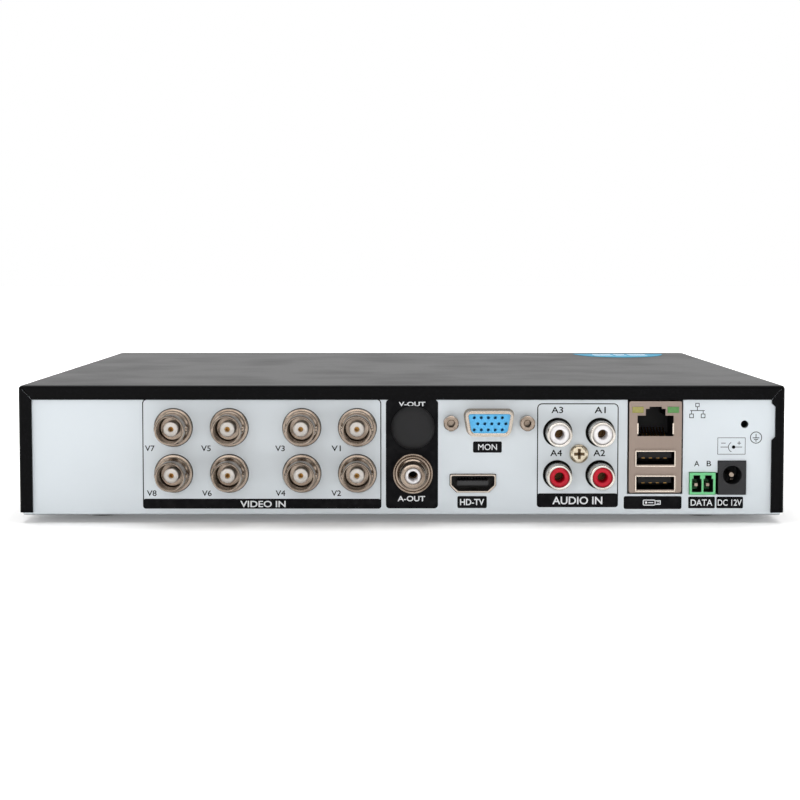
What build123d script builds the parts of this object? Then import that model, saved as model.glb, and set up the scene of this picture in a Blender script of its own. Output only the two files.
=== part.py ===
"""An eight-channel video recorder: a low steel case with a plastic fascia, a full row of sockets
along the back, and a circuit board, a hard drive and a small fan inside.

Millimetres, +Z up. The fascia faces -Y and the sockets face +Y. The origin lies under the middle
of the whole outline, on the surface that the four feet stand on.

Seen from behind, +X is on the left. The sockets are placed by their distance from that left side
and by their height above the underside of the tray.
"""

from build123d import *
import math
import os

# ---------------------------------------------------------------- overall sizes
case_width = 252.0
body_height = 43.0  # underside of the tray to the top of the cover
case_depth = 230.0  # front of the fascia to the rear edge of the cover
sheet = 0.8  # steel of the tray and the cover
seam = 0.25  # gap all round between the tray and the cover
flap_gap = 0.1  # gap between the rear wall and the folded edge of the cover
bend = 1.2  # outside radius of a folded corner

# ---------------------------------------------------------------- feet
foot_height = 2.5
foot_radius = 7.0
foot_inset = 24.0

# ---------------------------------------------------------------- cover
edge_top = 4.7  # folded edge above the rear wall
edge_side = 4.3  # folded edge beside the rear wall
cover_lift = 1.0  # lower edge of the cover above the underside of the tray
mitre_gap = 0.25
relief_depth = 1.2  # shallow relief in the folded edge on the power-jack side
relief_low = 26.1
relief_high = 35.9
slot_width = 2.0
slot_height = 16.0
slot_pitch = 4.4
slot_count = 9
cover_screw_up = 5.5
cover_screw_inset = 20.0
label_width = 38.8
label_length = 31.0
label_thickness = 0.12
label_from_left = 221.0
label_inset = 0.4  # from the front edge of the cover

# ---------------------------------------------------------------- fascia
fascia_depth = 13.0
fascia_wall = 2.4
fascia_corner = 3.0
window_width = 168.0
window_height = 15.0
window_thickness = 1.4
window_left_shift = -20.0
lamp_radius = 1.5
lamp_pitch = 9.0
lamp_count = 4
receiver_radius = 2.6
key_radius = 5.0
key_clearance = 0.15
key_travel = 0.8
switch_bore_radius = 1.75
switch_floor = 0.4
key_pusher_reach = 1.5  # end of the key behind the fascia wall
front_post_drop = 10.0
front_board_thickness = 1.6

# ---------------------------------------------------------------- main board
board_thickness = 1.6
board_top_up = 7.0  # top of the board above the underside of the tray
board_from_left = 30.0
board_width = 213.0
board_depth = 94.0
board_setback = 1.2  # rear edge of the board to the inside of the rear wall
board_screw_radius = 1.5

# ---------------------------------------------------------------- sockets: from left, above the board
video_columns = (50.8, 69.2, 93.1, 111.4)
stack_rows = (22.1, 6.9)
output_column = 129.7
monitor_place = (154.7, 23.75)
hd_place = (149.5, 3.65)
audio_centre = (184.4, 13.5)
audio_pitch = 14.0
network_from_left = 209.5
network_lift = 0.6  # foot of the network block above the board
terminal_from_left = 225.15
power_jack_from_left = 234.9
earth_from_left = 238.9
earth_up = 30.2  # above the underside of the tray

# ---------------------------------------------------------------- socket sizes
hole_gap = 0.2  # free space round a piece that passes through the rear wall
fit_gap = 0.05  # free space between two pieces that are pushed together
body_gap = 0.2  # rear wall to the plastic body of a socket behind it
port_reach = 12.0  # a video socket, from the rear wall to its end
video_collar_radius = 6.25
video_step_radius = 5.45
video_barrel_radius = 4.8
video_bore_radius = 4.1
video_insulator_radius = 2.45
video_contact_radius = 0.8
insulator_seat = 1.0  # inner end of an insulator, behind the rear wall's face
contact_seat = 0.5  # inner end of a centre contact, before the rear wall's face
lug_reach = 5.5
lug_radius = 0.95
stack_width = 14.6
stack_depth = 17.0
stack_height = 29.8  # plastic body of a pair of sockets, above the board
phono_radius = 4.15
phono_step = 0.5  # root of an audio input, wider than its ring
phono_hole_gap = 0.7  # free space round the ring in the rear wall
phono_bore_radius = 3.2
phono_hole_radius = 1.6
phono_reach = 9.0
audio_out_radius = 4.1
audio_out_bore_radius = 2.65
cap_radius = 7.2
cap_stem_radius = 6.1
cap_hole_gap = 0.15
cap_head = 1.8
cap_stem_length = 4.5
monitor_width = 16.35
monitor_height = 8.3
monitor_shell = 0.45
monitor_reach = 5.4
jackscrew_spacing = 25.0
jackscrew_across = 4.8
jackscrew_length = 5.0
jackscrew_hole_radius = 1.35
jackscrew_root_radius = 1.45
hd_width = 15.0
hd_height = 5.9
hd_shell = 0.4
hd_reach = 0.8
hd_length = 12.0
network_width = 17.3
network_height = 30.2
network_depth = 21.0
network_reach = 0.6
network_shell = 0.4
network_bars = (18.0, 48.0, 36.5, 10.5)  # metal above, between and below the three openings, in parts
jack_width = 11.9
jack_height = 6.8
notch_width = 6.5
notch_height = 2.2
tab_notch_width = 4.1
tab_notch_height = 0.7
jack_cavity = 14.0
network_contact_pitch = 1.02
serial_tongue_drop = 0.7
serial_tongue_thickness = 1.8
serial_width = 12.5
serial_height = 4.6
serial_lip = 0.45
lamp_window = (3.7, 2.0)
lamp_side = 5.8
lamp_lift = 0.9  # lamps above the top edge of the network opening
terminal_width = 8.5
terminal_height = 7.2
terminal_pitch = 3.81
terminal_reach = 0.8
power_jack_reach = 0.7
power_jack_width = 9.1
power_jack_height = 11.0
power_jack_bore = 3.1
power_jack_pin = 1.0
power_jack_rise = 1.0  # pin above the middle of the body
power_jack_depth = 10.0
earth_hole_radius = 1.25
earth_boss_radius = 2.4
earth_boss_length = 2.2

# ---------------------------------------------------------------- hard drive and fan
drive_length = 147.0
drive_width = 101.6
drive_height = 26.1
drive_boss = 3.0
drive_from_left = 84.0
drive_front_gap = 5.0
platter_radius = 47.5
platter_thickness = 1.3
platter_pitch = 5.0
first_platter_up = 5.0  # lower disc above the floor of the disc room
spindle_radius = 4.0
arm_post_radius = 3.0
arm_reach = 43.0
arm_parked_heading = 104.0  # degrees, anticlockwise from +X, with the heads off the discs
bearing_gap = 0.05
fan_size = 40.0
fan_depth = 10.0
fan_bore = 18.9
fan_hub_radius = 11.0
fan_post_radius = 1.5
fan_blades = 7
fan_from_front = 60.0
fan_mount_pitch = 32.0
m3_radius = 1.5
m3_head_radius = 2.8
m3_head_height = 1.8

# ---------------------------------------------------------------- places worked out from the sizes
half_width = case_width / 2
overall_depth = case_depth - sheet - flap_gap + port_reach
front_y = -overall_depth / 2
rear_edge_y = front_y + case_depth
panel_y = rear_edge_y - sheet - flap_gap  # outer face of the rear wall
panel_back_y = panel_y - sheet
stack_y = panel_back_y - body_gap  # front faces of the socket bodies
steel_front_y = front_y + fascia_depth
under_z = foot_height
floor_z = under_z + sheet
top_z = under_z + body_height
roof_z = top_z - sheet
tray_half = half_width - sheet - seam
wall_top_z = roof_z - seam
board_z = under_z + board_top_up
board_rear_y = panel_back_y - board_setback
board_front_y = board_rear_y - board_depth
network_place = (network_from_left, network_lift + network_height / 2)
terminal_place = (terminal_from_left, terminal_height / 2)
power_jack_place = (power_jack_from_left, power_jack_height / 2)
network_opening_heights = tab_notch_height + notch_height + jack_height + 2 * serial_height
network_part = (network_height - network_opening_heights) / sum(network_bars)
jack_top_up = network_height / 2 - network_part * network_bars[0] - tab_notch_height - notch_height
jack_up = jack_top_up - jack_height / 2  # middle of the network opening above the middle of the block
upper_serial_up = jack_up - jack_height / 2 - network_part * network_bars[1] - serial_height / 2
lower_serial_up = upper_serial_up - serial_height - network_part * network_bars[2]
serial_ups = (upper_serial_up, lower_serial_up)
lamp_up = jack_top_up + lamp_lift + lamp_window[1] / 2
drive_z = floor_z + drive_boss
drive_front_y = steel_front_y + sheet + drive_front_gap
drive_rear_y = drive_front_y + drive_width


def from_left(distance):
    """X of a place this far from the left side of the case, seen from behind."""
    return half_width - distance


def rear_place(place):
    """(x, z) of a place on the rear wall given as (from left, above the board)."""
    return from_left(place[0]), board_z + place[1]


def earth_place():
    """(x, z) of the earth screw's hole."""
    return from_left(earth_from_left), under_z + earth_up


drive_high_x = from_left(drive_from_left)
drive_low_x = drive_high_x - drive_length
drive_mid_y = (drive_front_y + drive_rear_y) / 2
fan_outer_x = tray_half - sheet
fan_inner_x = fan_outer_x - fan_depth
fan_y = front_y + fan_from_front
fan_z = floor_z + 0.4 + fan_size / 2


# ---------------------------------------------------------------- shape helpers
def block(low, high):
    """A box between two opposite corners."""
    size = [b - a for a, b in zip(low, high)]
    middle = [(a + b) / 2 for a, b in zip(low, high)]
    return Pos(*middle) * Box(*size)


def rod_x(y, z, radius, x_from, x_to):
    """A cylinder along X."""
    middle = Pos((x_from + x_to) / 2, y, z)
    return middle * Rot(0, 90, 0) * Cylinder(radius, x_to - x_from)


def rod_y(x, z, radius, y_from, y_to):
    """A cylinder along Y."""
    middle = Pos(x, (y_from + y_to) / 2, z)
    return middle * Rot(90, 0, 0) * Cylinder(radius, y_to - y_from)


def rod_z(x, y, radius, z_from, z_to):
    """A cylinder along Z."""
    return Pos(x, y, (z_from + z_to) / 2) * Cylinder(radius, z_to - z_from)


def turned_y(x, z, profile):
    """A solid of revolution about the line along Y through (x, z), from (radius, y) points."""
    outline = make_face(Polyline(*profile, close=True))
    return Pos(x, 0, z) * revolve(outline, axis=Axis.Y, revolution_arc=360)


def along_y(sketch, y_from, y_to):
    """A prism along Y from a sketch drawn in (x, z)."""
    seat = Plane(origin=(0, y_to, 0), x_dir=(1, 0, 0), z_dir=(0, -1, 0))
    return extrude(seat * sketch, amount=y_to - y_from, dir=(0, -1, 0))


def together(pieces):
    """Separate solids that share one node."""
    solids = []
    for piece in pieces:
        solids.extend(piece.solids())
    return Compound(children=solids)


def cross_recess(radius, depth):
    """The cross-shaped driving recess of a screw, opening towards +Z at z = 0."""
    arm = radius * 0.32
    reach = radius * 1.1
    cut = Pos(0, 0, -depth / 2) * (Box(reach, arm, depth) + Box(arm, reach, depth))
    return cut


def pan_screw(shank_radius, head_radius, head_height, length):
    """A pan-head screw whose head sits on z = 0 and whose shank hangs below it."""
    head = Pos(0, 0, head_height / 2) * Cylinder(head_radius, head_height)
    head = fillet(head.edges().group_by(Axis.Z)[-1], radius=head_height * 0.6)
    shank = Pos(0, 0, -length / 2) * Cylinder(shank_radius, length)
    recess = Pos(0, 0, head_height) * cross_recess(head_radius, head_height * 0.6)
    return head + shank - recess


# ---------------------------------------------------------------- tray
def tray_board_posts():
    """(x, y) of the screws that hold the main board."""
    rows = (board_front_y + 5.0, board_rear_y - 26.0)
    columns = (board_from_left + 5.0, board_from_left + board_width / 2 + 9.0,
               board_from_left + board_width - 14.0)
    return [(from_left(u), y) for u in columns for y in rows]


def drive_screw_places():
    """(x, y) of the four screws that hold the drive, in the drive's own bottom pattern."""
    along = (drive_length - 102.9, drive_length - 58.7)
    inset = 3.2
    return [(drive_high_x - a, y) for a in along
            for y in (drive_front_y + inset, drive_rear_y - inset)]


def fan_screw_places():
    """(y, z) of the four fan screws."""
    half = fan_mount_pitch / 2
    return [(fan_y + a, fan_z + b) for a in (-half, half) for b in (-half, half)]


def d_outline(width, height, radius):
    """The outline of a D-shaped connector, wide side up, as a sketch in (x, z)."""
    lean = height * math.tan(math.radians(10))
    top, low = width / 2, width / 2 - lean
    face = Polygon((-top, height / 2), (top, height / 2), (low, -height / 2),
                   (-low, -height / 2), align=None)
    return fillet(face.vertices(), radius=radius)


def hd_outline(grow):
    """The outline of the high-definition port, wide side up, as a sketch in (x, z)."""
    half = hd_width / 2 + grow
    high = hd_height / 2 + grow
    step = hd_width * 0.15
    shoulder = -hd_height * 0.12 - grow * 0.4
    face = Polygon((-half, high), (half, high), (half, shoulder), (half - step, -high),
                   (-half + step, -high), (-half, shoulder), align=None)
    return fillet(face.vertices(), radius=0.5)


def rear_wall_cuts():
    """Everything that is cut out of the rear wall for the sockets."""
    back, front = panel_back_y - 1.0, panel_y + 1.0
    cuts = []
    for column in video_columns:
        for row in stack_rows:
            x, z = rear_place((column, row))
            cuts.append(rod_y(x, z, video_collar_radius + hole_gap, back, front))
    x, z = rear_place((output_column, stack_rows[0]))
    cuts.append(rod_y(x, z, cap_stem_radius + cap_hole_gap, back, front))
    x, z = rear_place((output_column, stack_rows[1]))
    cuts.append(rod_y(x, z, video_collar_radius + hole_gap, back, front))
    x, z = rear_place(monitor_place)
    shape = d_outline(monitor_width + 2 * hole_gap, monitor_height + 2 * hole_gap, 2.3)
    cuts.append(Pos(x, 0, z) * along_y(shape, back, front))
    for side in (-1, 1):
        cuts.append(rod_y(x + side * jackscrew_spacing / 2, z, jackscrew_root_radius + 0.15, back, front))
    x, z = rear_place(hd_place)
    cuts.append(Pos(x, 0, z) * along_y(hd_outline(hole_gap), back, front))
    for x, z in audio_places():
        cuts.append(rod_y(x, z, phono_radius + phono_hole_gap, back, front))
    x, z = rear_place(audio_centre)
    cuts.append(rod_y(x, z, m3_radius + 0.1, back, front))
    for place, width, height, gap in (
        (network_place, network_width, network_height, 0.5),
        (terminal_place, terminal_width, terminal_height, hole_gap),
        (power_jack_place, power_jack_width, power_jack_height, hole_gap),
    ):
        x, z = rear_place(place)
        cuts.append(block((x - width / 2 - gap, back, z - height / 2 - gap),
                          (x + width / 2 + gap, front, z + height / 2 + gap)))
    x, z = rear_place(terminal_place)
    jack_x = rear_place(power_jack_place)[0]
    cuts.append(block((jack_x, back, z - terminal_height / 2), (x, front, z + terminal_height / 2)))
    return cuts


def audio_places():
    """(x, z) of the four audio sockets: the upper pair first."""
    x, z = rear_place(audio_centre)
    half = audio_pitch / 2
    return [(x + half, z + half), (x - half, z + half), (x + half, z - half), (x - half, z - half)]


def chassis_tray():
    """The lower half of the case, folded from one sheet: floor, rear wall, front wall and lips."""
    lip_height = 10.0
    front_wall_top = wall_top_z - 1.0
    outer = block((-tray_half, steel_front_y, under_z), (tray_half, panel_y, wall_top_z))
    corners = outer.edges().filter_by(Axis.X).group_by(Axis.Z)[0]
    outer = fillet(corners, radius=bend)
    inner = block((-tray_half + sheet, steel_front_y + sheet, floor_z),
                  (tray_half - sheet, panel_back_y, wall_top_z + 1.0))
    inner_corners = inner.edges().filter_by(Axis.X).group_by(Axis.Z)[0]
    tray = outer - fillet(inner_corners, radius=bend - sheet)
    window = (steel_front_y + 6.0, panel_back_y - 6.0)
    tab = (fan_y - fan_size / 2 - 2.0, fan_y + fan_size / 2 + 2.0)
    above = under_z + lip_height
    for side, y_low, y_high in ((-1, *window), (1, window[0], tab[0]), (1, tab[1], window[1])):
        x_pair = sorted((side * (tray_half + 1), side * (tray_half - sheet - 0.5)))
        tray -= block((x_pair[0], y_low, above), (x_pair[1], y_high, wall_top_z + 1))
    tray -= block((-tray_half - 1, steel_front_y - 1, front_wall_top),
                  (tray_half + 1, steel_front_y + 7.0, wall_top_z + 1))
    tray += block((-tray_half + sheet, panel_back_y - 6.0, wall_top_z - sheet),
                  (tray_half - sheet, panel_back_y, wall_top_z))
    for cut in rear_wall_cuts():
        tray -= cut
    x, z = earth_place()
    tray += rod_y(x, z, earth_boss_radius, panel_back_y - earth_boss_length, panel_back_y)
    tray -= rod_y(x, z, earth_hole_radius, panel_back_y - 2 * earth_boss_length, panel_y + 1)
    tray -= rod_x(fan_y, fan_z, fan_bore, fan_outer_x - 1, tray_half + 1)
    for y, z in fan_screw_places():
        tray -= rod_x(y, z, m3_radius + 0.15, fan_outer_x - 1, tray_half + 1)
    for x, y in drive_screw_places():
        tray += rod_z(x, y, 5.0, under_z + 0.1, drive_z)
        tray -= rod_z(x, y, 3.6, under_z - 1, drive_z - sheet)
        tray -= rod_z(x, y, 1.9, under_z - 1, drive_z + 1)
    for x, y in tray_board_posts():
        tray -= rod_z(x, y, board_screw_radius + 0.4, under_z - 1, floor_z + 1)
    for side in (-1, 1):
        for y in cover_screw_rows():
            x_pair = sorted((side * (tray_half + 1), side * (tray_half - sheet - 1)))
            tray -= rod_x(y, under_z + cover_screw_up, m3_radius + fit_gap, *x_pair)
    for index in range(14):
        x = drive_low_x + 26.0 + index * 7.0
        tray -= block((x, drive_mid_y - 22, under_z - 1), (x + 2.4, drive_mid_y + 22, floor_z + 1))
    tray -= rod_y(front_lead_x(), front_lead_z(), 4.0, steel_front_y - 1, steel_front_y + 2)
    return tray


def board_post_pieces():
    """Hexagonal posts pressed into the tray floor, under the main board."""
    posts = []
    for x, y in tray_board_posts():
        post = Pos(x, y, floor_z) * extrude(RegularPolygon(2.9, 6), board_z - board_thickness - floor_z)
        stub = rod_z(x, y, board_screw_radius + 0.35, under_z + 0.1, floor_z)
        bore = rod_z(x, y, board_screw_radius + fit_gap, floor_z - 0.3, board_z)
        posts.append(post + stub - bore)
    return together(posts)


def foot_pieces():
    """Four round rubber feet stuck under the tray."""
    feet = []
    for x in (-half_width + foot_inset, half_width - foot_inset):
        for y in (steel_front_y + foot_inset, panel_y - foot_inset):
            foot = Pos(x, y, foot_height / 2) * Cone(foot_radius - 0.7, foot_radius, foot_height)
            feet.append(fillet(foot.edges().group_by(Axis.Z)[0], radius=0.6))
    return together(feet)


# ---------------------------------------------------------------- cover
def cover_screw_rows():
    """Y of the screws in each side of the cover."""
    return [steel_front_y + cover_screw_inset, panel_y - cover_screw_inset]


def side_slot_rows():
    """Y of the middle of each cooling slot in the sides of the cover."""
    first = fan_y - (slot_count - 1) / 2 * slot_pitch
    return [first + index * slot_pitch for index in range(slot_count)]


def top_cover():
    """The upper half of the case: top, two sides, and a folded edge round the rear wall."""
    low_z = under_z + cover_lift
    front = steel_front_y + flap_gap
    outer = block((-half_width, front, low_z), (half_width, rear_edge_y, top_z))
    long_edges = outer.edges().filter_by(Axis.Y).group_by(Axis.Z)[-1]
    rear_edges = outer.edges().group_by(Axis.Y)[-1]
    rear_edges = rear_edges.sort_by(Axis.Z)[1:]
    outer = fillet(long_edges + rear_edges, radius=bend)
    inner = block((-half_width + sheet, front - 1, low_z - 1),
                  (half_width - sheet, rear_edge_y - sheet, roof_z))
    long_edges = inner.edges().filter_by(Axis.Y).group_by(Axis.Z)[-1]
    rear_edges = inner.edges().group_by(Axis.Y)[-1].sort_by(Axis.Z)[1:]
    cover = outer - fillet(long_edges + rear_edges, radius=bend - sheet)
    window_x = half_width - edge_side
    window_z = top_z - edge_top
    cover -= block((-window_x, rear_edge_y - sheet - 1, low_z - 1), (window_x, rear_edge_y + 1, window_z))
    for side in (-1, 1):
        start = (side * window_x, window_z)
        end = (side * (half_width - bend), top_z - bend)
        slit = Line(start, end)
        slit_face = make_face(offset(slit, amount=mitre_gap / 2))
        cover -= along_y(slit_face, rear_edge_y - sheet - 0.4, rear_edge_y + 1)
    reach = half_width - edge_side + relief_depth
    slope = relief_depth
    relief = Polygon((-window_x + 1, under_z + relief_low - slope),
                     (-window_x, under_z + relief_low - slope), (-reach, under_z + relief_low),
                     (-reach, under_z + relief_high), (-window_x, under_z + relief_high + slope),
                     (-window_x + 1, under_z + relief_high + slope), align=None)
    cover -= along_y(relief, rear_edge_y - sheet - 0.4, rear_edge_y + 1)
    slot_mid = fan_z
    for side in (-1, 1):
        x_pair = sorted((side * (half_width + 1), side * (half_width - sheet - 1)))
        for y in side_slot_rows():
            cover -= block((x_pair[0], y - slot_width / 2, slot_mid - slot_height / 2),
                           (x_pair[1], y + slot_width / 2, slot_mid + slot_height / 2))
            for end in (-1, 1):
                cover -= rod_x(y, slot_mid + end * slot_height / 2, slot_width / 2, *x_pair)
        for y in cover_screw_rows():
            cover -= rod_x(y, under_z + cover_screw_up, m3_radius + 0.15, *x_pair)
    return cover


def cover_screw_pieces():
    """Four black pan-head screws in the sides of the cover."""
    screws = []
    for side in (-1, 1):
        for y in cover_screw_rows():
            screw = pan_screw(m3_radius, m3_head_radius, 1.4, 5.0)
            seat = Pos(side * half_width, y, under_z + cover_screw_up)
            screws.append(seat * Rot(0, 90 * side, 0) * screw)
    return together(screws)


def top_label():
    """A thin adhesive label near the front edge of the cover."""
    x = from_left(label_from_left)
    front = steel_front_y + flap_gap + label_inset
    shape = Ellipse(label_width / 2, label_length) & Pos(0, label_length / 2) * Rectangle(
        label_width, label_length)
    return Pos(x, front, top_z) * extrude(shape, label_thickness)


# ---------------------------------------------------------------- fascia and its parts
def front_parts_z():
    """Height of the lamps, the receiver and the key."""
    return under_z + body_height / 2


def lamp_xs():
    """X of the status lamps."""
    start = window_left_shift - window_width / 2 + 16.0
    return [start + index * lamp_pitch for index in range(lamp_count)]


def receiver_x():
    """X of the remote-control receiver."""
    return window_left_shift + window_width / 2 - 16.0


def key_x():
    """X of the power key."""
    return half_width - 24.0


def front_board_y():
    """Y of the front face of the small board behind the fascia."""
    return front_y + 8.0


def front_fascia():
    """The moulded front of the case, hollow behind, with a shallow seat for the window."""
    low = (-half_width, front_y, under_z)
    high = (half_width, steel_front_y, top_z)
    outer = block(low, high)
    outer = fillet(outer.edges().filter_by(Axis.Z).group_by(Axis.Y)[0], radius=fascia_corner)
    outer = fillet(outer.edges().group_by(Axis.Y)[0], radius=1.0)
    inner = block((low[0] + fascia_wall, front_y + fascia_wall, low[2] + fascia_wall),
                  (high[0] - fascia_wall, steel_front_y + 1, high[2] - fascia_wall))
    fascia = outer - inner
    z = front_parts_z()
    seat = RectangleRounded(window_width + 2 * fit_gap, window_height + 2 * fit_gap, 2.0)
    fascia -= Pos(window_left_shift, 0, z) * along_y(seat, front_y - 1, front_y + window_thickness + fit_gap)
    for x in lamp_xs():
        fascia -= rod_y(x, z, lamp_radius + 0.1, front_y, front_y + fascia_wall + 1)
    fascia -= rod_y(receiver_x(), z, receiver_radius + 0.2, front_y, front_y + fascia_wall + 1)
    fascia -= rod_y(key_x(), z, key_radius + key_clearance, front_y - 1, front_y + fascia_wall + 1)
    ring = rod_y(key_x(), z, key_radius + 1.6, front_y - 1, front_y + 0.4)
    fascia -= ring - rod_y(key_x(), z, key_radius + 0.9, front_y - 2, front_y + 1)
    for up in (6.0, body_height - 6.0):
        fascia -= block((-half_width - 1, front_y - 1, under_z + up - 0.4),
                        (half_width + 1, front_y + 0.5, under_z + up + 0.4))
    for x in (-half_width + 40.0, 0.0, half_width - 40.0):
        for up in (fascia_wall, body_height - fascia_wall - 3.0):
            fascia += block((x - 4, front_y + fascia_wall, under_z + up),
                            (x + 4, steel_front_y, under_z + up + 3.0))
    for x in front_board_post_xs():
        post = rod_y(x, z - front_post_drop, 2.6, front_y + fascia_wall - 0.2, front_board_y())
        fascia += post - rod_y(x, z - front_post_drop, 1.0, front_y + fascia_wall + 1, front_board_y() + 1)
    return fascia


def front_board_post_xs():
    """X of the two posts that hold the front board."""
    return [-80.0, 80.0]


def front_window():
    """The smoked window in front of the lamps and the receiver."""
    shape = RectangleRounded(window_width, window_height, 2.0)
    window = Pos(window_left_shift, 0, front_parts_z()) * along_y(shape, front_y, front_y + window_thickness)
    return window


def power_key():
    """The power key: a round cap, a flange behind the fascia wall and a short pusher."""
    z = front_parts_z()
    inside = front_y + fascia_wall
    head = rod_y(key_x(), z, key_radius, front_y, inside + 0.1)
    head = fillet(head.edges().group_by(Axis.Y)[0], radius=0.5)
    dish = Pos(key_x(), front_y - 9.6, z) * Sphere(10.0)
    flange = rod_y(key_x(), z, key_radius + 1.2, inside + 0.1, inside + 0.9)
    pusher = rod_y(key_x(), z, 1.7, inside + 0.9, inside + key_pusher_reach)
    return head - dish + flange + pusher


def switch_plunger_y():
    """Y of the end of the switch plunger that the key pushes."""
    return front_y + fascia_wall + key_pusher_reach


def switch_plunger():
    """The moving button of the switch behind the power key."""
    end = front_board_y() - switch_floor - key_travel - 0.2
    return rod_y(key_x(), front_parts_z(), switch_bore_radius - 0.1, switch_plunger_y(), end)


def key_switch():
    """The body of the switch behind the power key, open in front for its plunger."""
    z = front_parts_z()
    body = block((key_x() - 3, front_board_y() - 3.0, z - 3), (key_x() + 3, front_board_y(), z + 3))
    return body - rod_y(key_x(), z, switch_bore_radius, front_board_y() - 4, front_board_y() - switch_floor)


def front_board():
    """The small board behind the fascia."""
    z = front_parts_z()
    y = front_board_y()
    board = block((-half_width + 8, y, z - 13.0), (half_width - 8, y + front_board_thickness, z + 7.0))
    for x in front_board_post_xs():
        board -= rod_y(x, z - front_post_drop, 1.3, y - 1, y + 3)
    return board


def lamp_pieces():
    """Status lamps behind the window."""
    lamps = []
    for x in lamp_xs():
        dome_y = front_y + window_thickness + lamp_radius + 0.2
        lamp = rod_y(x, front_parts_z(), lamp_radius, dome_y, front_board_y())
        dome = Pos(x, dome_y, front_parts_z()) * Sphere(lamp_radius)
        lamps.append(lamp + dome)
    return together(lamps)


def remote_receiver():
    """The infra-red receiver behind the window."""
    x, z = receiver_x(), front_parts_z()
    base = block((x - 3, front_y + 4.4, z - 3.5), (x + 3, front_board_y(), z + 3.5))
    return base + rod_y(x, z, receiver_radius, front_y + window_thickness + 0.3, front_y + 4.4)


# ---------------------------------------------------------------- main board
def main_board():
    """The main circuit board."""
    low_x = from_left(board_from_left + board_width)
    high_x = from_left(board_from_left)
    board = block((low_x, board_front_y, board_z - board_thickness), (high_x, board_rear_y, board_z))
    for x, y in tray_board_posts():
        board -= rod_z(x, y, board_screw_radius + 0.1, board_z - 3, board_z + 1)
    return board


def on_board(u, y_back, width, depth, height, lift=0.0):
    """A block standing on the main board, centred at (u from the left, y_back before the rear edge)."""
    x, y = from_left(u), board_rear_y - y_back
    low_z = board_z + lift
    return block((x - width / 2, y - depth / 2, low_z), (x + width / 2, y + depth / 2, low_z + height))


chip_height = 1.2
sink_place = (150.0, 54.0)
sink_size = 40.0


def board_chips():
    """The processor, memory, video converters and the network chip."""
    chips = [on_board(*sink_place, 23.0, 23.0, chip_height)]
    for index in range(2):
        chips.append(on_board(118.0, 46.0 + index * 16.0, 8.0, 13.0, 1.0))
    for column in video_columns:
        chips.append(on_board(column + 4.0, 31.0, 12.0, 12.0, 1.4))
    chips.append(on_board(200.0, 36.0, 10.0, 10.0, 1.0))
    chips.append(on_board(112.0, 76.0, 6.0, 8.0, 1.6))
    chips.append(on_board(184.0, 76.0, 9.0, 7.0, 1.2))
    return together(chips)


def heat_sink():
    """A finned aluminium heat sink on the processor."""
    x, y = from_left(sink_place[0]), board_rear_y - sink_place[1]
    base_z = board_z + chip_height
    half = sink_size / 2
    sink = block((x - half, y - half, base_z), (x + half, y + half, base_z + 3.0))
    fins = 11
    fin = 1.2
    gap = (sink_size - fin) / (fins - 1)
    for index in range(fins):
        start = x - half + index * gap
        sink += block((start, y - half, base_z + 3.0), (start + fin, y + half, base_z + 14.0))
    sink -= block((x - half - 1, y - 1.5, base_z + 3.0), (x + half + 1, y + 1.5, base_z + 15.0))
    return sink


def board_inductors():
    """Power inductors beside the power jack."""
    return together([on_board(u, y, 10.0, 10.0, 5.0) for u, y in ((233.0, 46.0), (218.0, 46.0))])


def board_capacitors():
    """Electrolytic capacitors, standing cans."""
    cans = []
    for u, back, radius, height in ((236.5, 22.0, 4.0, 11.0), (222.6, 22.0, 4.0, 11.0),
                                    (233.0, 60.0, 3.15, 7.0), (219.0, 60.0, 3.15, 7.0),
                                    (64.0, 44.0, 3.15, 7.0), (84.0, 60.0, 3.15, 7.0)):
        x, y = from_left(u), board_rear_y - back
        can = rod_z(x, y, radius, board_z, board_z + height)
        groove = rod_z(x, y, radius + 1, board_z + 1.6, board_z + 2.2) - rod_z(
            x, y, radius - 0.35, board_z + 1, board_z + 3)
        can = fillet(can.edges().group_by(Axis.Z)[-1], radius=0.5) - groove
        cans.append(can)
    return together(cans)


coin_place = (62.0, 66.0)
coin_radius = 10.0
coin_up = 1.2


def coin_cell():
    """The clock's coin cell, lying in its holder."""
    x, y = from_left(coin_place[0]), board_rear_y - coin_place[1]
    return rod_z(x, y, coin_radius, board_z + coin_up, board_z + coin_up + 3.2)


def board_headers():
    """Plastic sockets on the main board for the leads, and the holder of the coin cell."""
    x, y = from_left(coin_place[0]), board_rear_y - coin_place[1]
    holder = rod_z(x, y, coin_radius + 1.5, board_z, board_z + 3.6)
    holder -= rod_z(x, y, coin_radius + 0.1, board_z + coin_up, board_z + 6)
    holder -= block((x - 12, y - 3, board_z + coin_up), (x + 12, y + 3, board_z + 6))
    pieces = [holder]
    for x, width, height in ((data_socket_x(), 14.0, 7.0), (drive_power_x(), 10.0, 7.0),
                             (front_lead_x(), 9.0, 6.0)):
        pieces.append(block((x - width / 2, board_front_y, board_z),
                            (x + width / 2, board_front_y + 7.0, board_z + height)))
    high_x = from_left(board_from_left)
    pieces.append(block((high_x - 6, fan_lead_y() - 3, board_z), (high_x, fan_lead_y() + 3, board_z + 5)))
    return together(pieces)


def buzzer():
    """The alarm buzzer."""
    x, y = from_left(88.0), board_rear_y - 76.0
    case = rod_z(x, y, 6.0, board_z, board_z + 8.0)
    return case - rod_z(x, y, 1.0, board_z + 6.0, board_z + 9.0)


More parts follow.
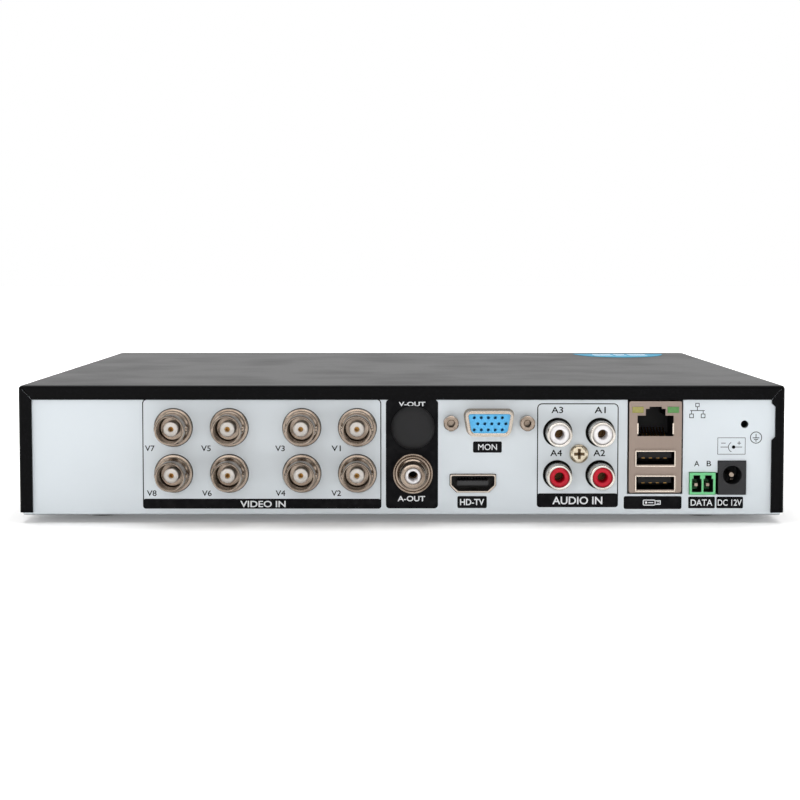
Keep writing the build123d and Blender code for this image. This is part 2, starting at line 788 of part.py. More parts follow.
def inner_screw_pieces():
    """Screws that hold the main board on its posts and the fan on its tab."""
    screws = []
    for x, y in tray_board_posts():
        screw = pan_screw(board_screw_radius, m3_head_radius, m3_head_height, 5.0)
        screws.append(Pos(x, y, board_z) * screw)
    for y, z in fan_screw_places():
        screw = pan_screw(m3_radius, m3_head_radius, m3_head_height, fan_depth)
        screws.append(Pos(fan_inner_x, y, z) * Rot(0, -90, 0) * screw)
    return together(screws)


# ---------------------------------------------------------------- leads
def data_socket_x():
    """X of the drive's data socket on the main board."""
    return drive_high_x + 24.0


def drive_power_x():
    """X of the drive's power socket on the main board."""
    return drive_high_x + 39.0


def front_lead_x():
    """X of the front board's lead."""
    return from_left(board_from_left + board_width - 6.0)


def front_lead_z():
    """Height of the hole that the front board's lead passes through."""
    return front_parts_z() - 8.0


def fan_lead_y():
    """Y of the fan's socket on the main board."""
    return board_front_y + 17.0


def tube(points, radius):
    """A round lead along straight runs joined by tangent arcs."""
    vectors = [Vector(*point) for point in points]
    radii = []
    for before, corner, after in zip(vectors, vectors[1:], vectors[2:]):
        turn = math.radians((corner - before).get_angle(after - corner))
        shorter = min((corner - before).length, (after - corner).length)
        radii.append(0.45 * shorter / math.tan(turn / 2))
    path = FilletPolyline(*points, radius=radii)
    start = Plane(origin=path @ 0, z_dir=path % 0)
    return sweep(start * Circle(radius), path=path)


drive_plug_reach = 8.0
drive_socket_depth = 8.0
drive_tongue_up = 4.0
drive_tongue_inset = 1.4


def drive_plug_rows():
    """(y, width) of the data plug and the power plug on the end of the drive."""
    return (drive_mid_y + 26.0, 12.0), (drive_mid_y + 2.0, 21.0)


def drive_data_lead():
    """The data lead between the drive and the main board, with a plug at each end."""
    y, width = drive_plug_rows()[0]
    z = drive_z + drive_tongue_up
    plug_x = drive_high_x + drive_plug_reach
    plug = drive_plug((y, width))
    end_x, end_z = data_socket_x(), board_z + 3.5
    end_y = board_front_y - drive_plug_reach
    far_plug = block((end_x - 6, end_y, end_z - 2.5), (end_x + 6, board_front_y, end_z + 2.5))
    lead = tube([(plug_x, y, z), (plug_x + 9, y, z), (end_x - 1, y + 8, z + 1.5),
                 (end_x, end_y - 8, end_z), (end_x, end_y, end_z)], 2.0)
    return together([plug, far_plug, lead])


def inner_leads():
    """Power lead of the drive, lead of the fan and lead of the front board, with their plugs."""
    y, width = drive_plug_rows()[1]
    z = drive_z + drive_tongue_up
    plug_x = drive_high_x + drive_plug_reach
    plug = drive_plug((y, width))
    end_x, end_z = drive_power_x(), board_z + 3.5
    end_y = board_front_y - drive_plug_reach
    far_plug = block((end_x - 5, end_y, end_z - 3), (end_x + 5, board_front_y, end_z + 3))
    drive_route = [(plug_x, y, z), (plug_x + 12, y, z), (plug_x + 22, y + 6, z + 1),
                   (end_x - 1, y + 18, z + 2), (end_x, end_y - 12, end_z), (end_x, end_y, end_z)]
    drive_lead = tube(drive_route, 2.2)
    high_x = from_left(board_from_left)
    fan_plug = block((high_x, fan_lead_y() - 2.5, board_z + 0.4),
                     (high_x + 6, fan_lead_y() + 2.5, board_z + 4.6))
    fan_side = fan_y + fan_size / 2
    lead_x = fan_inner_x + 6.0
    fan_route = [(high_x + 6, fan_lead_y(), board_z + 2.5), (high_x + 12, fan_lead_y() - 1, board_z + 2.5),
                 (lead_x - 1, fan_lead_y() - 12, board_z + 1.5), (lead_x + 0.5, fan_side + 22, floor_z + 4),
                 (lead_x, fan_side + 9, floor_z + 5), (lead_x, fan_side, floor_z + 5)]
    fan_lead = tube(fan_route, 1.0)
    lead_x = front_lead_x()
    hole_z = front_lead_z()
    front_plug = block((lead_x - 4, board_front_y - 6, board_z + 0.5),
                       (lead_x + 4, board_front_y, board_z + 5.5))
    front_route = [(lead_x, board_front_y - 6, board_z + 3), (lead_x, board_front_y - 20, board_z + 2.6),
                   (lead_x - 3, drive_mid_y + 10, board_z + 1),
                   (lead_x - 3.5, drive_mid_y - 24, board_z + 1.5),
                   (lead_x - 1, steel_front_y + 14, hole_z - 1), (lead_x, steel_front_y + 4, hole_z),
                   (lead_x, front_board_y() + front_board_thickness, hole_z)]
    front_lead = tube(front_route, 1.8)
    return together([plug, far_plug, drive_lead, fan_plug, fan_lead, front_plug, front_lead])


# ---------------------------------------------------------------- video sockets
def video_socket_places():
    """(x, z) of the eight video sockets."""
    return [rear_place((column, row)) for column in video_columns for row in stack_rows]


def stack_body(column):
    """The black plastic block behind a column of sockets, standing on the main board."""
    x = from_left(column)
    return block((x - stack_width / 2, stack_y - stack_depth, board_z),
                 (x + stack_width / 2, stack_y, board_z + stack_height))


barrel_root = 3.0  # how far a metal barrel reaches into its plastic body


def video_in_bodies():
    """Four black plastic blocks, one for each pair of video sockets."""
    bodies = []
    for column in video_columns:
        body = stack_body(column)
        for row in stack_rows:
            x, z = rear_place((column, row))
            body -= rod_y(x, z, video_collar_radius + fit_gap, stack_y - barrel_root, stack_y + 1)
        bodies.append(body)
    return together(bodies)


def video_in_barrels():
    """The plated barrels of the video sockets: collar, step, bayonet barrel and two lugs."""
    root = stack_y - barrel_root
    end = panel_y + port_reach
    barrels = []
    for x, z in video_socket_places():
        profile = [(0.0, root), (video_collar_radius, root), (video_collar_radius, panel_y + 0.9),
                   (video_collar_radius - 0.3, panel_y + 1.2), (video_step_radius, panel_y + 1.2),
                   (video_step_radius, panel_y + 3.0), (video_barrel_radius, panel_y + 3.4),
                   (video_barrel_radius, end - 0.4), (video_barrel_radius - 0.25, end),
                   (video_bore_radius + 0.1, end), (video_bore_radius, end - 0.3),
                   (video_bore_radius, panel_y + 2.0), (video_insulator_radius + fit_gap, panel_y + 2.0),
                   (video_insulator_radius + fit_gap, panel_y - insulator_seat),
                   (0.0, panel_y - insulator_seat)]
        barrel = turned_y(x, z, profile)
        lugs = rod_x(end - 5.0, z, lug_radius, x - lug_reach, x + lug_reach)
        barrels.append(barrel + (lugs - rod_y(x, z, video_bore_radius + 0.3, end - 8, end)))
    return together(barrels)


def video_in_insulators():
    """The white insulators inside the video sockets."""
    pieces = []
    for x, z in video_socket_places():
        profile = [(0.0, panel_y - insulator_seat), (video_insulator_radius, panel_y - insulator_seat),
                   (video_insulator_radius, panel_y + 7.3), (video_insulator_radius - 0.2, panel_y + 7.5),
                   (video_contact_radius + fit_gap, panel_y + 7.5),
                   (video_contact_radius + fit_gap, panel_y + contact_seat), (0.0, panel_y + contact_seat)]
        pieces.append(turned_y(x, z, profile))
    return together(pieces)


def video_in_contacts():
    """The gold centre contacts of the video sockets."""
    pieces = []
    for x, z in video_socket_places():
        profile = [(0.0, panel_y + contact_seat), (video_contact_radius, panel_y + contact_seat),
                   (video_contact_radius, panel_y + 7.0), (video_contact_radius - 0.15, panel_y + 7.2),
                   (0.45, panel_y + 7.2), (0.45, panel_y + 3.5), (0.0, panel_y + 3.5)]
        pieces.append(turned_y(x, z, profile))
    return together(pieces)


# ---------------------------------------------------------------- phono sockets
def phono_barrel(x, z):
    """The plated outer ring of a phono socket."""
    root, end = stack_y - barrel_root, panel_y + phono_reach
    wide = phono_radius + phono_step
    profile = [(phono_bore_radius, root), (wide, root), (wide, panel_y + 0.3),
               (phono_radius, panel_y + 0.3), (phono_radius, end - 0.3), (phono_radius - 0.3, end),
               (phono_bore_radius, end)]
    return turned_y(x, z, profile)


def phono_insert(x, z, radius, end):
    """The coloured insulator of a phono socket, with the hole for the plug's pin."""
    low = stack_y - barrel_root
    profile = [(0.0, low), (radius, low), (radius, end - 0.2), (radius - 0.2, end),
               (phono_hole_radius + 0.3, end), (phono_hole_radius, end - 0.3),
               (phono_hole_radius, panel_y - insulator_seat), (0.0, panel_y - insulator_seat)]
    return turned_y(x, z, profile)


def output_stack_body():
    """The black block behind the blanked video output and the audio output."""
    body = stack_body(output_column)
    x, z = rear_place((output_column, stack_rows[0]))
    body -= rod_y(x, z, cap_stem_radius + 0.4, panel_back_y - cap_stem_length - 1.0, stack_y + 1)
    x, z = rear_place((output_column, stack_rows[1]))
    body -= rod_y(x, z, video_collar_radius + fit_gap, stack_y - barrel_root, stack_y + 1)
    return body


def video_out_cap():
    """The black cap that blanks the unused video output: a domed head on a slit stem."""
    x, z = rear_place((output_column, stack_rows[0]))
    seat = panel_y + fit_gap
    tip = panel_back_y - cap_stem_length
    profile = [(0.0, seat + cap_head), (cap_radius - 2.2, seat + cap_head - 0.1),
               (cap_radius - 0.7, seat + cap_head - 0.6), (cap_radius, seat + cap_head - 1.3),
               (cap_radius, seat), (cap_stem_radius, seat), (cap_stem_radius, tip + 0.6),
               (cap_stem_radius - 0.6, tip), (cap_stem_radius - 1.2, tip),
               (cap_stem_radius - 1.2, seat + 0.3), (0.0, seat + 0.3)]
    cap = turned_y(x, z, profile)
    slit = 1.2
    span = cap_stem_radius + 1
    cap -= block((x - span, tip - 1, z - slit / 2), (x + span, panel_back_y, z + slit / 2))
    cap -= block((x - slit / 2, tip - 1, z - span), (x + slit / 2, panel_back_y, z + span))
    return cap


def audio_out_barrel():
    """The plated audio output: base ring, shoulder and barrel."""
    x, z = rear_place((output_column, stack_rows[1]))
    low = stack_y - barrel_root
    end = panel_y + phono_reach
    profile = [(audio_out_bore_radius, low), (video_collar_radius, low),
               (video_collar_radius, panel_y + 1.0),
               (video_collar_radius + 0.35, panel_y + 1.0), (video_collar_radius + 0.35, panel_y + 1.5),
               (video_collar_radius - 0.4, panel_y + 1.5), (video_collar_radius - 0.6, panel_y + 1.1),
               (4.95, panel_y + 1.1), (4.95, panel_y + 3.0), (audio_out_radius, panel_y + 3.5),
               (audio_out_radius, end - 0.3), (audio_out_radius - 0.3, end), (audio_out_bore_radius, end)]
    return turned_y(x, z, profile)


def audio_out_insulator():
    """The white insulator of the audio output."""
    x, z = rear_place((output_column, stack_rows[1]))
    return phono_insert(x, z, audio_out_bore_radius - fit_gap, panel_y + phono_reach - 0.6)


def audio_in_body():
    """The black block behind the four audio inputs."""
    x, z = rear_place(audio_centre)
    half = audio_pitch / 2 + 6.0
    body = block((x - half, stack_y - stack_depth, board_z), (x + half, stack_y, z + half))
    for socket_x, socket_z in audio_places():
        root_radius = phono_radius + phono_step + fit_gap
        body -= rod_y(socket_x, socket_z, root_radius, stack_y - barrel_root, stack_y + 1)
    body -= rod_y(x, z, m3_radius - 0.05, panel_y - 8.0, stack_y + 1)
    for side_z in (z + half, z - half - 0.01):
        body -= block((x - 1.6, stack_y - stack_depth - 1, side_z - 1.4),
                      (x + 1.6, stack_y + 1, side_z + 1.4))
    return body


def audio_in_barrels():
    """The plated rings of the four audio inputs."""
    return together([phono_barrel(x, z) for x, z in audio_places()])


def phono_white_inserts():
    """White insulators of the upper pair of audio inputs and of the audio output."""
    end = panel_y + phono_reach - 0.5
    inserts = [phono_insert(x, z, phono_bore_radius - fit_gap, end) for x, z in audio_places()[:2]]
    inserts.append(audio_out_insulator())
    return together(inserts)


def phono_red_inserts():
    """Red insulators of the lower pair of audio inputs."""
    end = panel_y + phono_reach - 0.5
    return together([phono_insert(x, z, phono_bore_radius - fit_gap, end) for x, z in audio_places()[2:]])


def phono_contacts():
    """Spring contacts at the bottom of the five phono sockets."""
    pieces = []
    places = audio_places() + [rear_place((output_column, stack_rows[1]))]
    for x, z in places:
        low = panel_y - insulator_seat
        ring = rod_y(x, z, phono_hole_radius - fit_gap, low, low + 2.0)
        pieces.append(ring - rod_y(x, z, phono_hole_radius - 0.4, low + 0.4, low + 3.0))
    return together(pieces)


def audio_in_screw():
    """The screw in the middle of the four audio inputs."""
    x, z = rear_place(audio_centre)
    screw = pan_screw(m3_radius - 0.1, 3.15, 1.9, 7.0)
    return Pos(x, panel_y, z) * Rot(-90, 0, 0) * screw


# ---------------------------------------------------------------- monitor and high-definition ports
monitor_flange = 0.5
monitor_stack_half = 14.6


def monitor_stack_body():
    """The black block that carries the monitor port above the high-definition port."""
    x, z = rear_place(monitor_place)
    flange_back = stack_y - monitor_flange
    body = block((x - monitor_stack_half, stack_y - stack_depth, board_z),
                 (x + monitor_stack_half, flange_back, z + 6.2))
    hd_x, hd_z = rear_place(hd_place)
    grown = hd_outline(fit_gap)
    body -= Pos(hd_x, 0, hd_z) * along_y(grown, panel_y + hd_reach - hd_length, stack_y + 1)
    for side in (-1, 1):
        across = x + side * jackscrew_spacing / 2
        body -= rod_y(across, z, jackscrew_root_radius + fit_gap, flange_back - 5.0, stack_y + 1)
    return body


def monitor_port_shell():
    """The D-shaped metal shell of the monitor port with its fixing plate."""
    x, z = rear_place(monitor_place)
    outer = d_outline(monitor_width, monitor_height, 2.1)
    hollow = d_outline(monitor_width - 2 * monitor_shell, monitor_height - 2 * monitor_shell, 1.7)
    base = d_outline(monitor_width + 0.3, monitor_height + 0.3, 2.2)
    back = stack_y - monitor_flange
    shell = along_y(outer, stack_y, panel_y + monitor_reach) + along_y(base, stack_y, panel_y + 0.6)
    plate = extrude(Plane.XZ * RectangleRounded(2 * monitor_stack_half, 12.0, 0.8), monitor_flange)
    shell += Pos(0, stack_y, 0) * plate
    shell -= along_y(hollow, back - 1, panel_y + monitor_reach + 1)
    for side in (-1, 1):
        shell -= rod_y(side * jackscrew_spacing / 2, 0, jackscrew_root_radius + 0.1, back - 1, stack_y + 1)
    return Pos(x, 0, z) * shell


def monitor_pin_places():
    """(across, up) of the fifteen pin holes of the monitor port, from its middle."""
    places = []
    for row, shift in ((1, 0.0), (0, -1.145), (-1, 0.0)):
        for index in range(5):
            places.append(((index - 2) * 2.29 + shift + 0.4, row * 1.98))
    return places


def monitor_port_insert():
    """The blue plastic insert of the monitor port, with fifteen pin holes."""
    x, z = rear_place(monitor_place)
    back = stack_y - monitor_flange
    shape = d_outline(monitor_width - 2 * monitor_shell - 2 * fit_gap,
                      monitor_height - 2 * monitor_shell - 2 * fit_gap, 1.65)
    insert = along_y(shape, back, panel_y + monitor_reach - 0.4)
    for across, up in monitor_pin_places():
        insert -= rod_y(across, up, 0.5, panel_y + 0.5, panel_y + monitor_reach)
    return Pos(x, 0, z) * insert


def jackscrews():
    """The two hexagonal jackscrews beside the monitor port."""
    pieces = []
    x, z = rear_place(monitor_place)
    end = panel_y + jackscrew_length
    for side in (-1, 1):
        nut = along_y(RegularPolygon(jackscrew_across / 2, 6, major_radius=False, rotation=30), panel_y, end)
        tip = turned_y(0, 0, [(0.0, panel_y), (2.5, panel_y), (2.5, end - 0.3), (2.2, end), (0.0, end)])
        nut = nut & tip
        nut += rod_y(0, 0, jackscrew_root_radius, stack_y - monitor_flange - 4.5, panel_y)
        nut -= rod_y(0, 0, jackscrew_hole_radius, end - 4.0, end + 1)
        pieces.append(Pos(x + side * jackscrew_spacing / 2, 0, z) * nut)
    return together(pieces)


def hd_port_shell():
    """The metal shell of the high-definition port."""
    x, z = rear_place(hd_place)
    low, end = panel_y + hd_reach - hd_length, panel_y + hd_reach
    shell = along_y(hd_outline(0.0), low, end)
    shell -= along_y(hd_outline(-hd_shell), low + hd_shell, end + 1)
    return Pos(x, 0, z) * shell


def hd_port_tongue():
    """The black tongue of the high-definition port with its row of contacts' slots."""
    x, z = rear_place(hd_place)
    low, end = panel_y + hd_reach - hd_length + hd_shell, panel_y + hd_reach - 1.2
    tongue = block((-hd_width / 2 + 2.4, low, -0.7), (hd_width / 2 - 2.4, end, 0.9))
    base = along_y(hd_outline(-hd_shell - fit_gap), low, low + 2.0)
    for index in range(10):
        start = -hd_width / 2 + 2.9 + index * 0.98
        tongue -= block((start, low + 2.5, 0.6), (start + 0.45, end + 1, 1.5))
    return Pos(x, 0, z) * (base + tongue)


# ---------------------------------------------------------------- network and serial block
def jack_outline(grow):
    """The outline of the network opening with its stepped notch, as a sketch in (x, z)."""
    low = jack_up - jack_height / 2 - grow
    high = jack_up + jack_height / 2 + grow
    shape = Pos(0, (low + high) / 2) * Rectangle(jack_width + 2 * grow, high - low)
    step = high + notch_height
    shape += Pos(0, (high + step) / 2) * Rectangle(notch_width + 2 * grow, step - high + 0.02)
    tip = step + tab_notch_height
    shape += Pos(0, (step + tip) / 2) * Rectangle(tab_notch_width + 2 * grow, tip - step + 0.02)
    return shape


def network_port_shell():
    """The plated box round the network port and the two serial-bus ports."""
    x, z = rear_place(network_place)
    half_w, half_h = network_width / 2, network_height / 2
    front = panel_y + network_reach
    back = front - network_depth
    shell = block((-half_w, back, -half_h), (half_w, front, half_h))
    shell = fillet(shell.edges().filter_by(Axis.Y), radius=0.6)
    room = block((-half_w + network_shell, back + network_shell, -half_h + network_shell),
                 (half_w - network_shell, front - network_shell, half_h - network_shell))
    shell -= room
    shell -= along_y(jack_outline(0.0), front - 1, front + 1)
    for up in serial_ups:
        shell -= block((-serial_width / 2, front - 1, up - serial_height / 2),
                       (serial_width / 2, front + 1, up + serial_height / 2))
        frame = block((-serial_width / 2 - serial_lip, front - 0.1, up - serial_height / 2 - serial_lip),
                      (serial_width / 2 + serial_lip, front + 0.5, up + serial_height / 2 + serial_lip))
        frame = fillet(frame.edges().filter_by(Axis.Y), radius=0.4)
        frame -= block((-serial_width / 2, front - 1, up - serial_height / 2),
                       (serial_width / 2, front + 1, up + serial_height / 2))
        shell += frame
    for side in (-1, 1):
        across, tall = lamp_window[0] / 2 + fit_gap, lamp_window[1] / 2 + fit_gap
        shell -= block((side * lamp_side - across, front - 1, lamp_up - tall),
                       (side * lamp_side + across, front + 1, lamp_up + tall))
        rail = sorted((side * (half_w - 0.7), side * (half_w - 2.2)))
        shell += block((rail[0], back + 2.0, board_z - z), (rail[1], panel_back_y - 2.0, -half_h + 0.1))
    return Pos(x, 0, z) * shell


def network_port_insert():
    """The black plastic filling of the block: the cavities, their tongues and springs' seats."""
    x, z = rear_place(network_place)
    gap = network_shell + fit_gap
    half_w, half_h = network_width / 2 - gap, network_height / 2 - gap
    front = panel_y + network_reach - network_shell - fit_gap
    back = panel_y + network_reach - network_depth + gap
    body = block((-half_w, back, -half_h), (half_w, front, half_h))
    body -= along_y(jack_outline(0.0), front - jack_cavity, front + 1)
    for up in serial_ups:
        body -= block((-serial_width / 2, front - 12.0, up - serial_height / 2),
                      (serial_width / 2, front + 1, up + serial_height / 2))
        high = up + serial_height / 2 - serial_tongue_drop
        body += block((-5.5, front - 12.5, high - serial_tongue_thickness), (5.5, front - 1.2, high))
    for side in (-1, 1):
        across, tall = lamp_window[0] / 2 + fit_gap, lamp_window[1] / 2 + fit_gap
        body -= block((side * lamp_side - across, front - 3.0, lamp_up - tall),
                      (side * lamp_side + across, front + 1, lamp_up + tall))
    for index in range(8):
        start = (index - 3.5) * network_contact_pitch
        low = jack_up - jack_height / 2
        body -= block((start - 0.3, front - jack_cavity + 1.0, low - 0.5),
                      (start + 0.3, front - 3.0, low + 0.1))
    return Pos(x, 0, z) * body


def network_port_contacts():
    """The eight gold springs in the network port and four on each serial-bus tongue."""
    x, z = rear_place(network_place)
    front = panel_y + network_reach - network_shell - fit_gap
    low = jack_up - jack_height / 2
    pieces = []
    for index in range(8):
        start = (index - 3.5) * network_contact_pitch
        side = Polygon((front - jack_cavity + 1.1, low - 0.45), (front - 3.1, low - 0.45),
                       (front - 3.1, low + 0.05), (front - 3.6, low + 0.3), (front - 9.0, low + 2.2),
                       (front - 9.4, low + 2.1), (front - 4.6, low - 0.05),
                       (front - jack_cavity + 1.1, low - 0.05), align=None)
        seat = Plane(origin=(start - 0.2, 0, 0), x_dir=(0, 1, 0), z_dir=(1, 0, 0))
        pieces.append(Pos(x, 0, z) * extrude(seat * side, amount=0.4, dir=(1, 0, 0)))
    for up in serial_ups:
        under = up + serial_height / 2 - serial_tongue_drop - serial_tongue_thickness
        for index in range(4):
            start = (index - 1.5) * 2.4
            pieces.append(Pos(x, 0, z) * block((start - 0.5, front - 11.5, under - 0.25),
                                               (start + 0.5, front - 2.2, under)))
    return together(pieces)


def link_lamp(side):
    """One of the two lamps at the top of the network port."""
    x, z = rear_place(network_place)
    front = panel_y + network_reach
    across, tall = lamp_window[0] / 2, lamp_window[1] / 2
    lamp = block((side * lamp_side - across, front - 3.4, lamp_up - tall),
                 (side * lamp_side + across, front + 0.1, lamp_up + tall))
    return Pos(x, 0, z) * lamp


# ---------------------------------------------------------------- data terminal and power jack
def data_terminal_body():
    """The green two-way data terminal with T-shaped openings."""
    x, z = rear_place(terminal_place)
    half_w, half_h = terminal_width / 2, terminal_height / 2
    front = panel_y + terminal_reach
    body = block((-half_w, front - 12.0, -half_h), (half_w, front, half_h))
    for side in (-1, 1):
        middle = side * terminal_pitch / 2
        body -= block((middle - 1.6, front - 9.0, -2.8), (middle + 1.6, front + 1, 1.6))
        body -= block((middle - 1.1, front - 9.0, 1.5), (middle + 1.1, front + 1, 2.8))
    return Pos(x, 0, z) * body


def data_terminal_pins():
    """The two flat pins of the data terminal."""
    x, z = rear_place(terminal_place)
    front = panel_y + terminal_reach
    pins = []
    for side in (-1, 1):
        middle = x + side * terminal_pitch / 2
        pins.append(block((middle - 0.5, front - 9.0, z - 1.0), (middle + 0.5, front - 1.6, z)))
    return together(pins)


def power_jack_body():
    """The black body of the power jack with its round opening."""
    x, z = rear_place(power_jack_place)
    front = panel_y + power_jack_reach
    half_w, half_h = power_jack_width / 2, power_jack_height / 2
    body = block((-half_w, front - 3.4, -half_h), (half_w, front, half_h))
    body = fillet(body.edges().filter_by(Axis.Y), radius=0.4)
    barrel = block((-half_w + 0.2, front - 14.0, board_z - z), (half_w - 0.2, front - 3.4, half_h - 0.6))
    body += barrel
    body -= rod_y(0, power_jack_rise, power_jack_bore, front - power_jack_depth, front + 1)
    return Pos(x, 0, z) * body


def power_jack_pin_piece():
    """The round pin in the middle of the power jack."""
    x, z = rear_place(power_jack_place)
    front = panel_y + power_jack_reach
    pin = rod_y(x, z + power_jack_rise, power_jack_pin, front - power_jack_depth, front - 1.2)
    return fillet(pin.edges().group_by(Axis.Y)[-1], radius=0.4)


# ---------------------------------------------------------------- hard drive
def disc_place():
    """(x, y) of the spindle of the drive."""
    return drive_high_x - 94.5, drive_mid_y


def arm_place():
    """(x, y) of the pivot of the drive's arm."""
    x, y = disc_place()
    return x + 55.0, y - 22.0


cavity_low = 8.0  # floor of the disc room above the underside of the drive
cavity_high = 24.8


def drive_base():
    """The cast base of the drive with the round disc room, the spindle and the arm's post."""
    low = (drive_low_x, drive_front_y, drive_z)
    base = block((low[0], low[1], drive_z), (drive_high_x, drive_rear_y, drive_z + cavity_high))
    base = fillet(base.edges().filter_by(Axis.Z), radius=2.5)
    x, y = disc_place()
    arm_x, arm_y = arm_place()
    floor = drive_z + cavity_low
    room = rod_z(x, y, platter_radius + 1.4, floor, drive_z + cavity_high + 1)
    room += block((x + 20, drive_front_y + 4.0, floor), (drive_high_x - 5.0, drive_rear_y - 30.0,
                                                        drive_z + cavity_high + 1))
    base -= room
    base += rod_z(x, y, spindle_radius, floor - 0.5, drive_z + cavity_high - 2.0)
    base += rod_z(arm_x, arm_y, arm_post_radius, floor - 0.5, drive_z + cavity_high - 2.0)
    under = block((low[0] + 8, low[1] + 6, drive_z - 1), (drive_high_x - 8, drive_rear_y - 6, drive_z + 2.6))
    under -= rod_z(x, y, 18.0, drive_z - 2, drive_z + 4)
    base -= under
    for hole_x, hole_y in drive_screw_places():
        base -= rod_z(hole_x, hole_y, 1.6, drive_z - 1, drive_z + 5.5)
    socket_low, socket_high = drive_socket_rows()
    base -= block((drive_high_x - drive_socket_depth - 0.1, socket_low - 0.1, drive_z - 1),
                  (drive_high_x + 1, socket_high + 0.1, drive_z + 7.1))
    return base


def drive_socket_rows():
    """The two ends along Y of the drive's socket block."""
    data, power = drive_plug_rows()
    return power[0] - power[1] / 2 - 2.0, data[0] + data[1] / 2 + 2.0


def drive_socket():
    """The drive's socket block with a tongue for the power plug and one for the data plug."""
    low, high = drive_socket_rows()
    socket = block((drive_high_x - drive_socket_depth, low, drive_z + 2.4),
                   (drive_high_x, high, drive_z + 7.0))
    z = drive_z + drive_tongue_up
    for y, width in drive_plug_rows():
        half = width / 2 - drive_tongue_inset
        socket += block((drive_high_x - 1, y - half, z - 0.4), (drive_high_x + 4.0, y + half, z + 0.8))
        socket += block((drive_high_x - 1, y - half, z - 1.2), (drive_high_x + 4.0, y - half + 1.2, z + 0.8))
    return socket


def drive_plug(place):
    """A plug on the end of the drive, hollow in front for the socket's tongue."""
    y, width = place
    z = drive_z + drive_tongue_up
    plug = block((drive_high_x, y - width / 2, z - 2.5),
                 (drive_high_x + drive_plug_reach, y + width / 2, z + 2.5))
    half = width / 2 - drive_tongue_inset + fit_gap
    return plug - block((drive_high_x - 1, y - half, z - 1.2 - fit_gap),
                        (drive_high_x + 4.2, y + half, z + 0.8 + fit_gap))


def drive_cover():
    """The pressed steel lid of the drive."""
    lid_z = drive_z + cavity_high
    x, y = disc_place()
    lid = block((drive_low_x + 1, drive_front_y + 1, lid_z), (drive_high_x - 2, drive_rear_y - 1,
                                                            drive_z + drive_height))
    lid = fillet(lid.edges().filter_by(Axis.Z), radius=3.0)
    ring = rod_z(x, y, 44.0, drive_z + drive_height - 0.4, drive_z + drive_height + 1)
    ring -= rod_z(x, y, 41.5, drive_z, drive_z + drive_height + 2)
    lid -= ring
    lid -= rod_z(x, y, 12.0, drive_z + drive_height - 0.4, drive_z + drive_height + 1)
    return lid


def drive_board():
    """The drive's own circuit board in the recess of its underside, with the connector block."""
    z = drive_z + 1.0
    board = block((drive_high_x - 90.0, drive_front_y + 8, z), (drive_high_x - 9, drive_rear_y - 8, z + 1.4))
    x, y = disc_place()
    return board - rod_z(x, y, 19.0, drive_z - 1, drive_z + 4)


def drive_platters():
    """Two discs clamped on the turning hub of the drive."""
    x, y = disc_place()
    floor = drive_z + cavity_low
    inner = spindle_radius + bearing_gap
    hub_low = floor + 2.0
    hub_high = drive_z + cavity_high - 1.0
    first = floor + first_platter_up
    second = first + platter_pitch
    stack = rod_z(x, y, 12.5, hub_low, hub_high - 0.8)
    for start in (first, second):
        stack += rod_z(x, y, platter_radius, start, start + platter_thickness)
    stack += rod_z(x, y, 15.5, second + platter_thickness, second + platter_thickness + 1.4)
    stack -= rod_z(x, y, inner, hub_low - 1, drive_z + cavity_high)
    for index in range(6):
        angle = math.radians(60 * index)
        screw_x, screw_y = x + 9.0 * math.cos(angle), y + 9.0 * math.sin(angle)
        stack -= rod_z(screw_x, screw_y, 1.0, hub_high - 2.0, hub_high + 1)
    return stack


def drive_arm():
    """The swinging arm that carries the heads between and outside the discs."""
    x, y = arm_place()
    disc_x, disc_y = disc_place()
    floor = drive_z + cavity_low
    first = floor + first_platter_up
    levels = (first - 2.6, first + platter_thickness + 1.1, first + platter_pitch + platter_thickness + 1.6)
    pivot = rod_z(x, y, 8.0, levels[0] - 0.4, levels[-1] + 1.5)
    heading = math.radians(arm_parked_heading)
    reach = arm_reach
    tip_x, tip_y = x + reach * math.cos(heading), y + reach * math.sin(heading)
    arm = pivot
    side_x, side_y = -math.sin(heading), math.cos(heading)
    corners = [(x + side_x * 6.5, y + side_y * 6.5), (tip_x + side_x * 1.5, tip_y + side_y * 1.5),
               (tip_x - side_x * 1.5, tip_y - side_y * 1.5), (x - side_x * 6.5, y - side_y * 6.5)]
    for level in levels:
        blade = Polygon(*corners, align=None)
        arm += Pos(0, 0, level) * extrude(blade, 0.9, dir=(0, 0, 1))
    tail = [(x + side_x * 7, y + side_y * 7), (x - side_x * 7, y - side_y * 7)]
    back_x, back_y = x - 18.0 * math.cos(heading), y - 18.0 * math.sin(heading)
    tail += [(back_x - side_x * 9, back_y - side_y * 9), (back_x + side_x * 9, back_y + side_y * 9)]
    arm += Pos(0, 0, levels[1] - 0.6) * extrude(Polygon(*tail, align=None), 2.0, dir=(0, 0, 1))
    return arm - rod_z(x, y, arm_post_radius + bearing_gap, floor, drive_z + cavity_high)


def drive_screw_pieces():
    """Four screws that hold the drive from under the tray."""
    screws = []
    for x, y in drive_screw_places():
        screw = pan_screw(1.55, 3.0, 1.6, 6.0)
        screws.append(Pos(x, y, drive_z - sheet) * Rot(180, 0, 0) * screw)
    return together(screws)


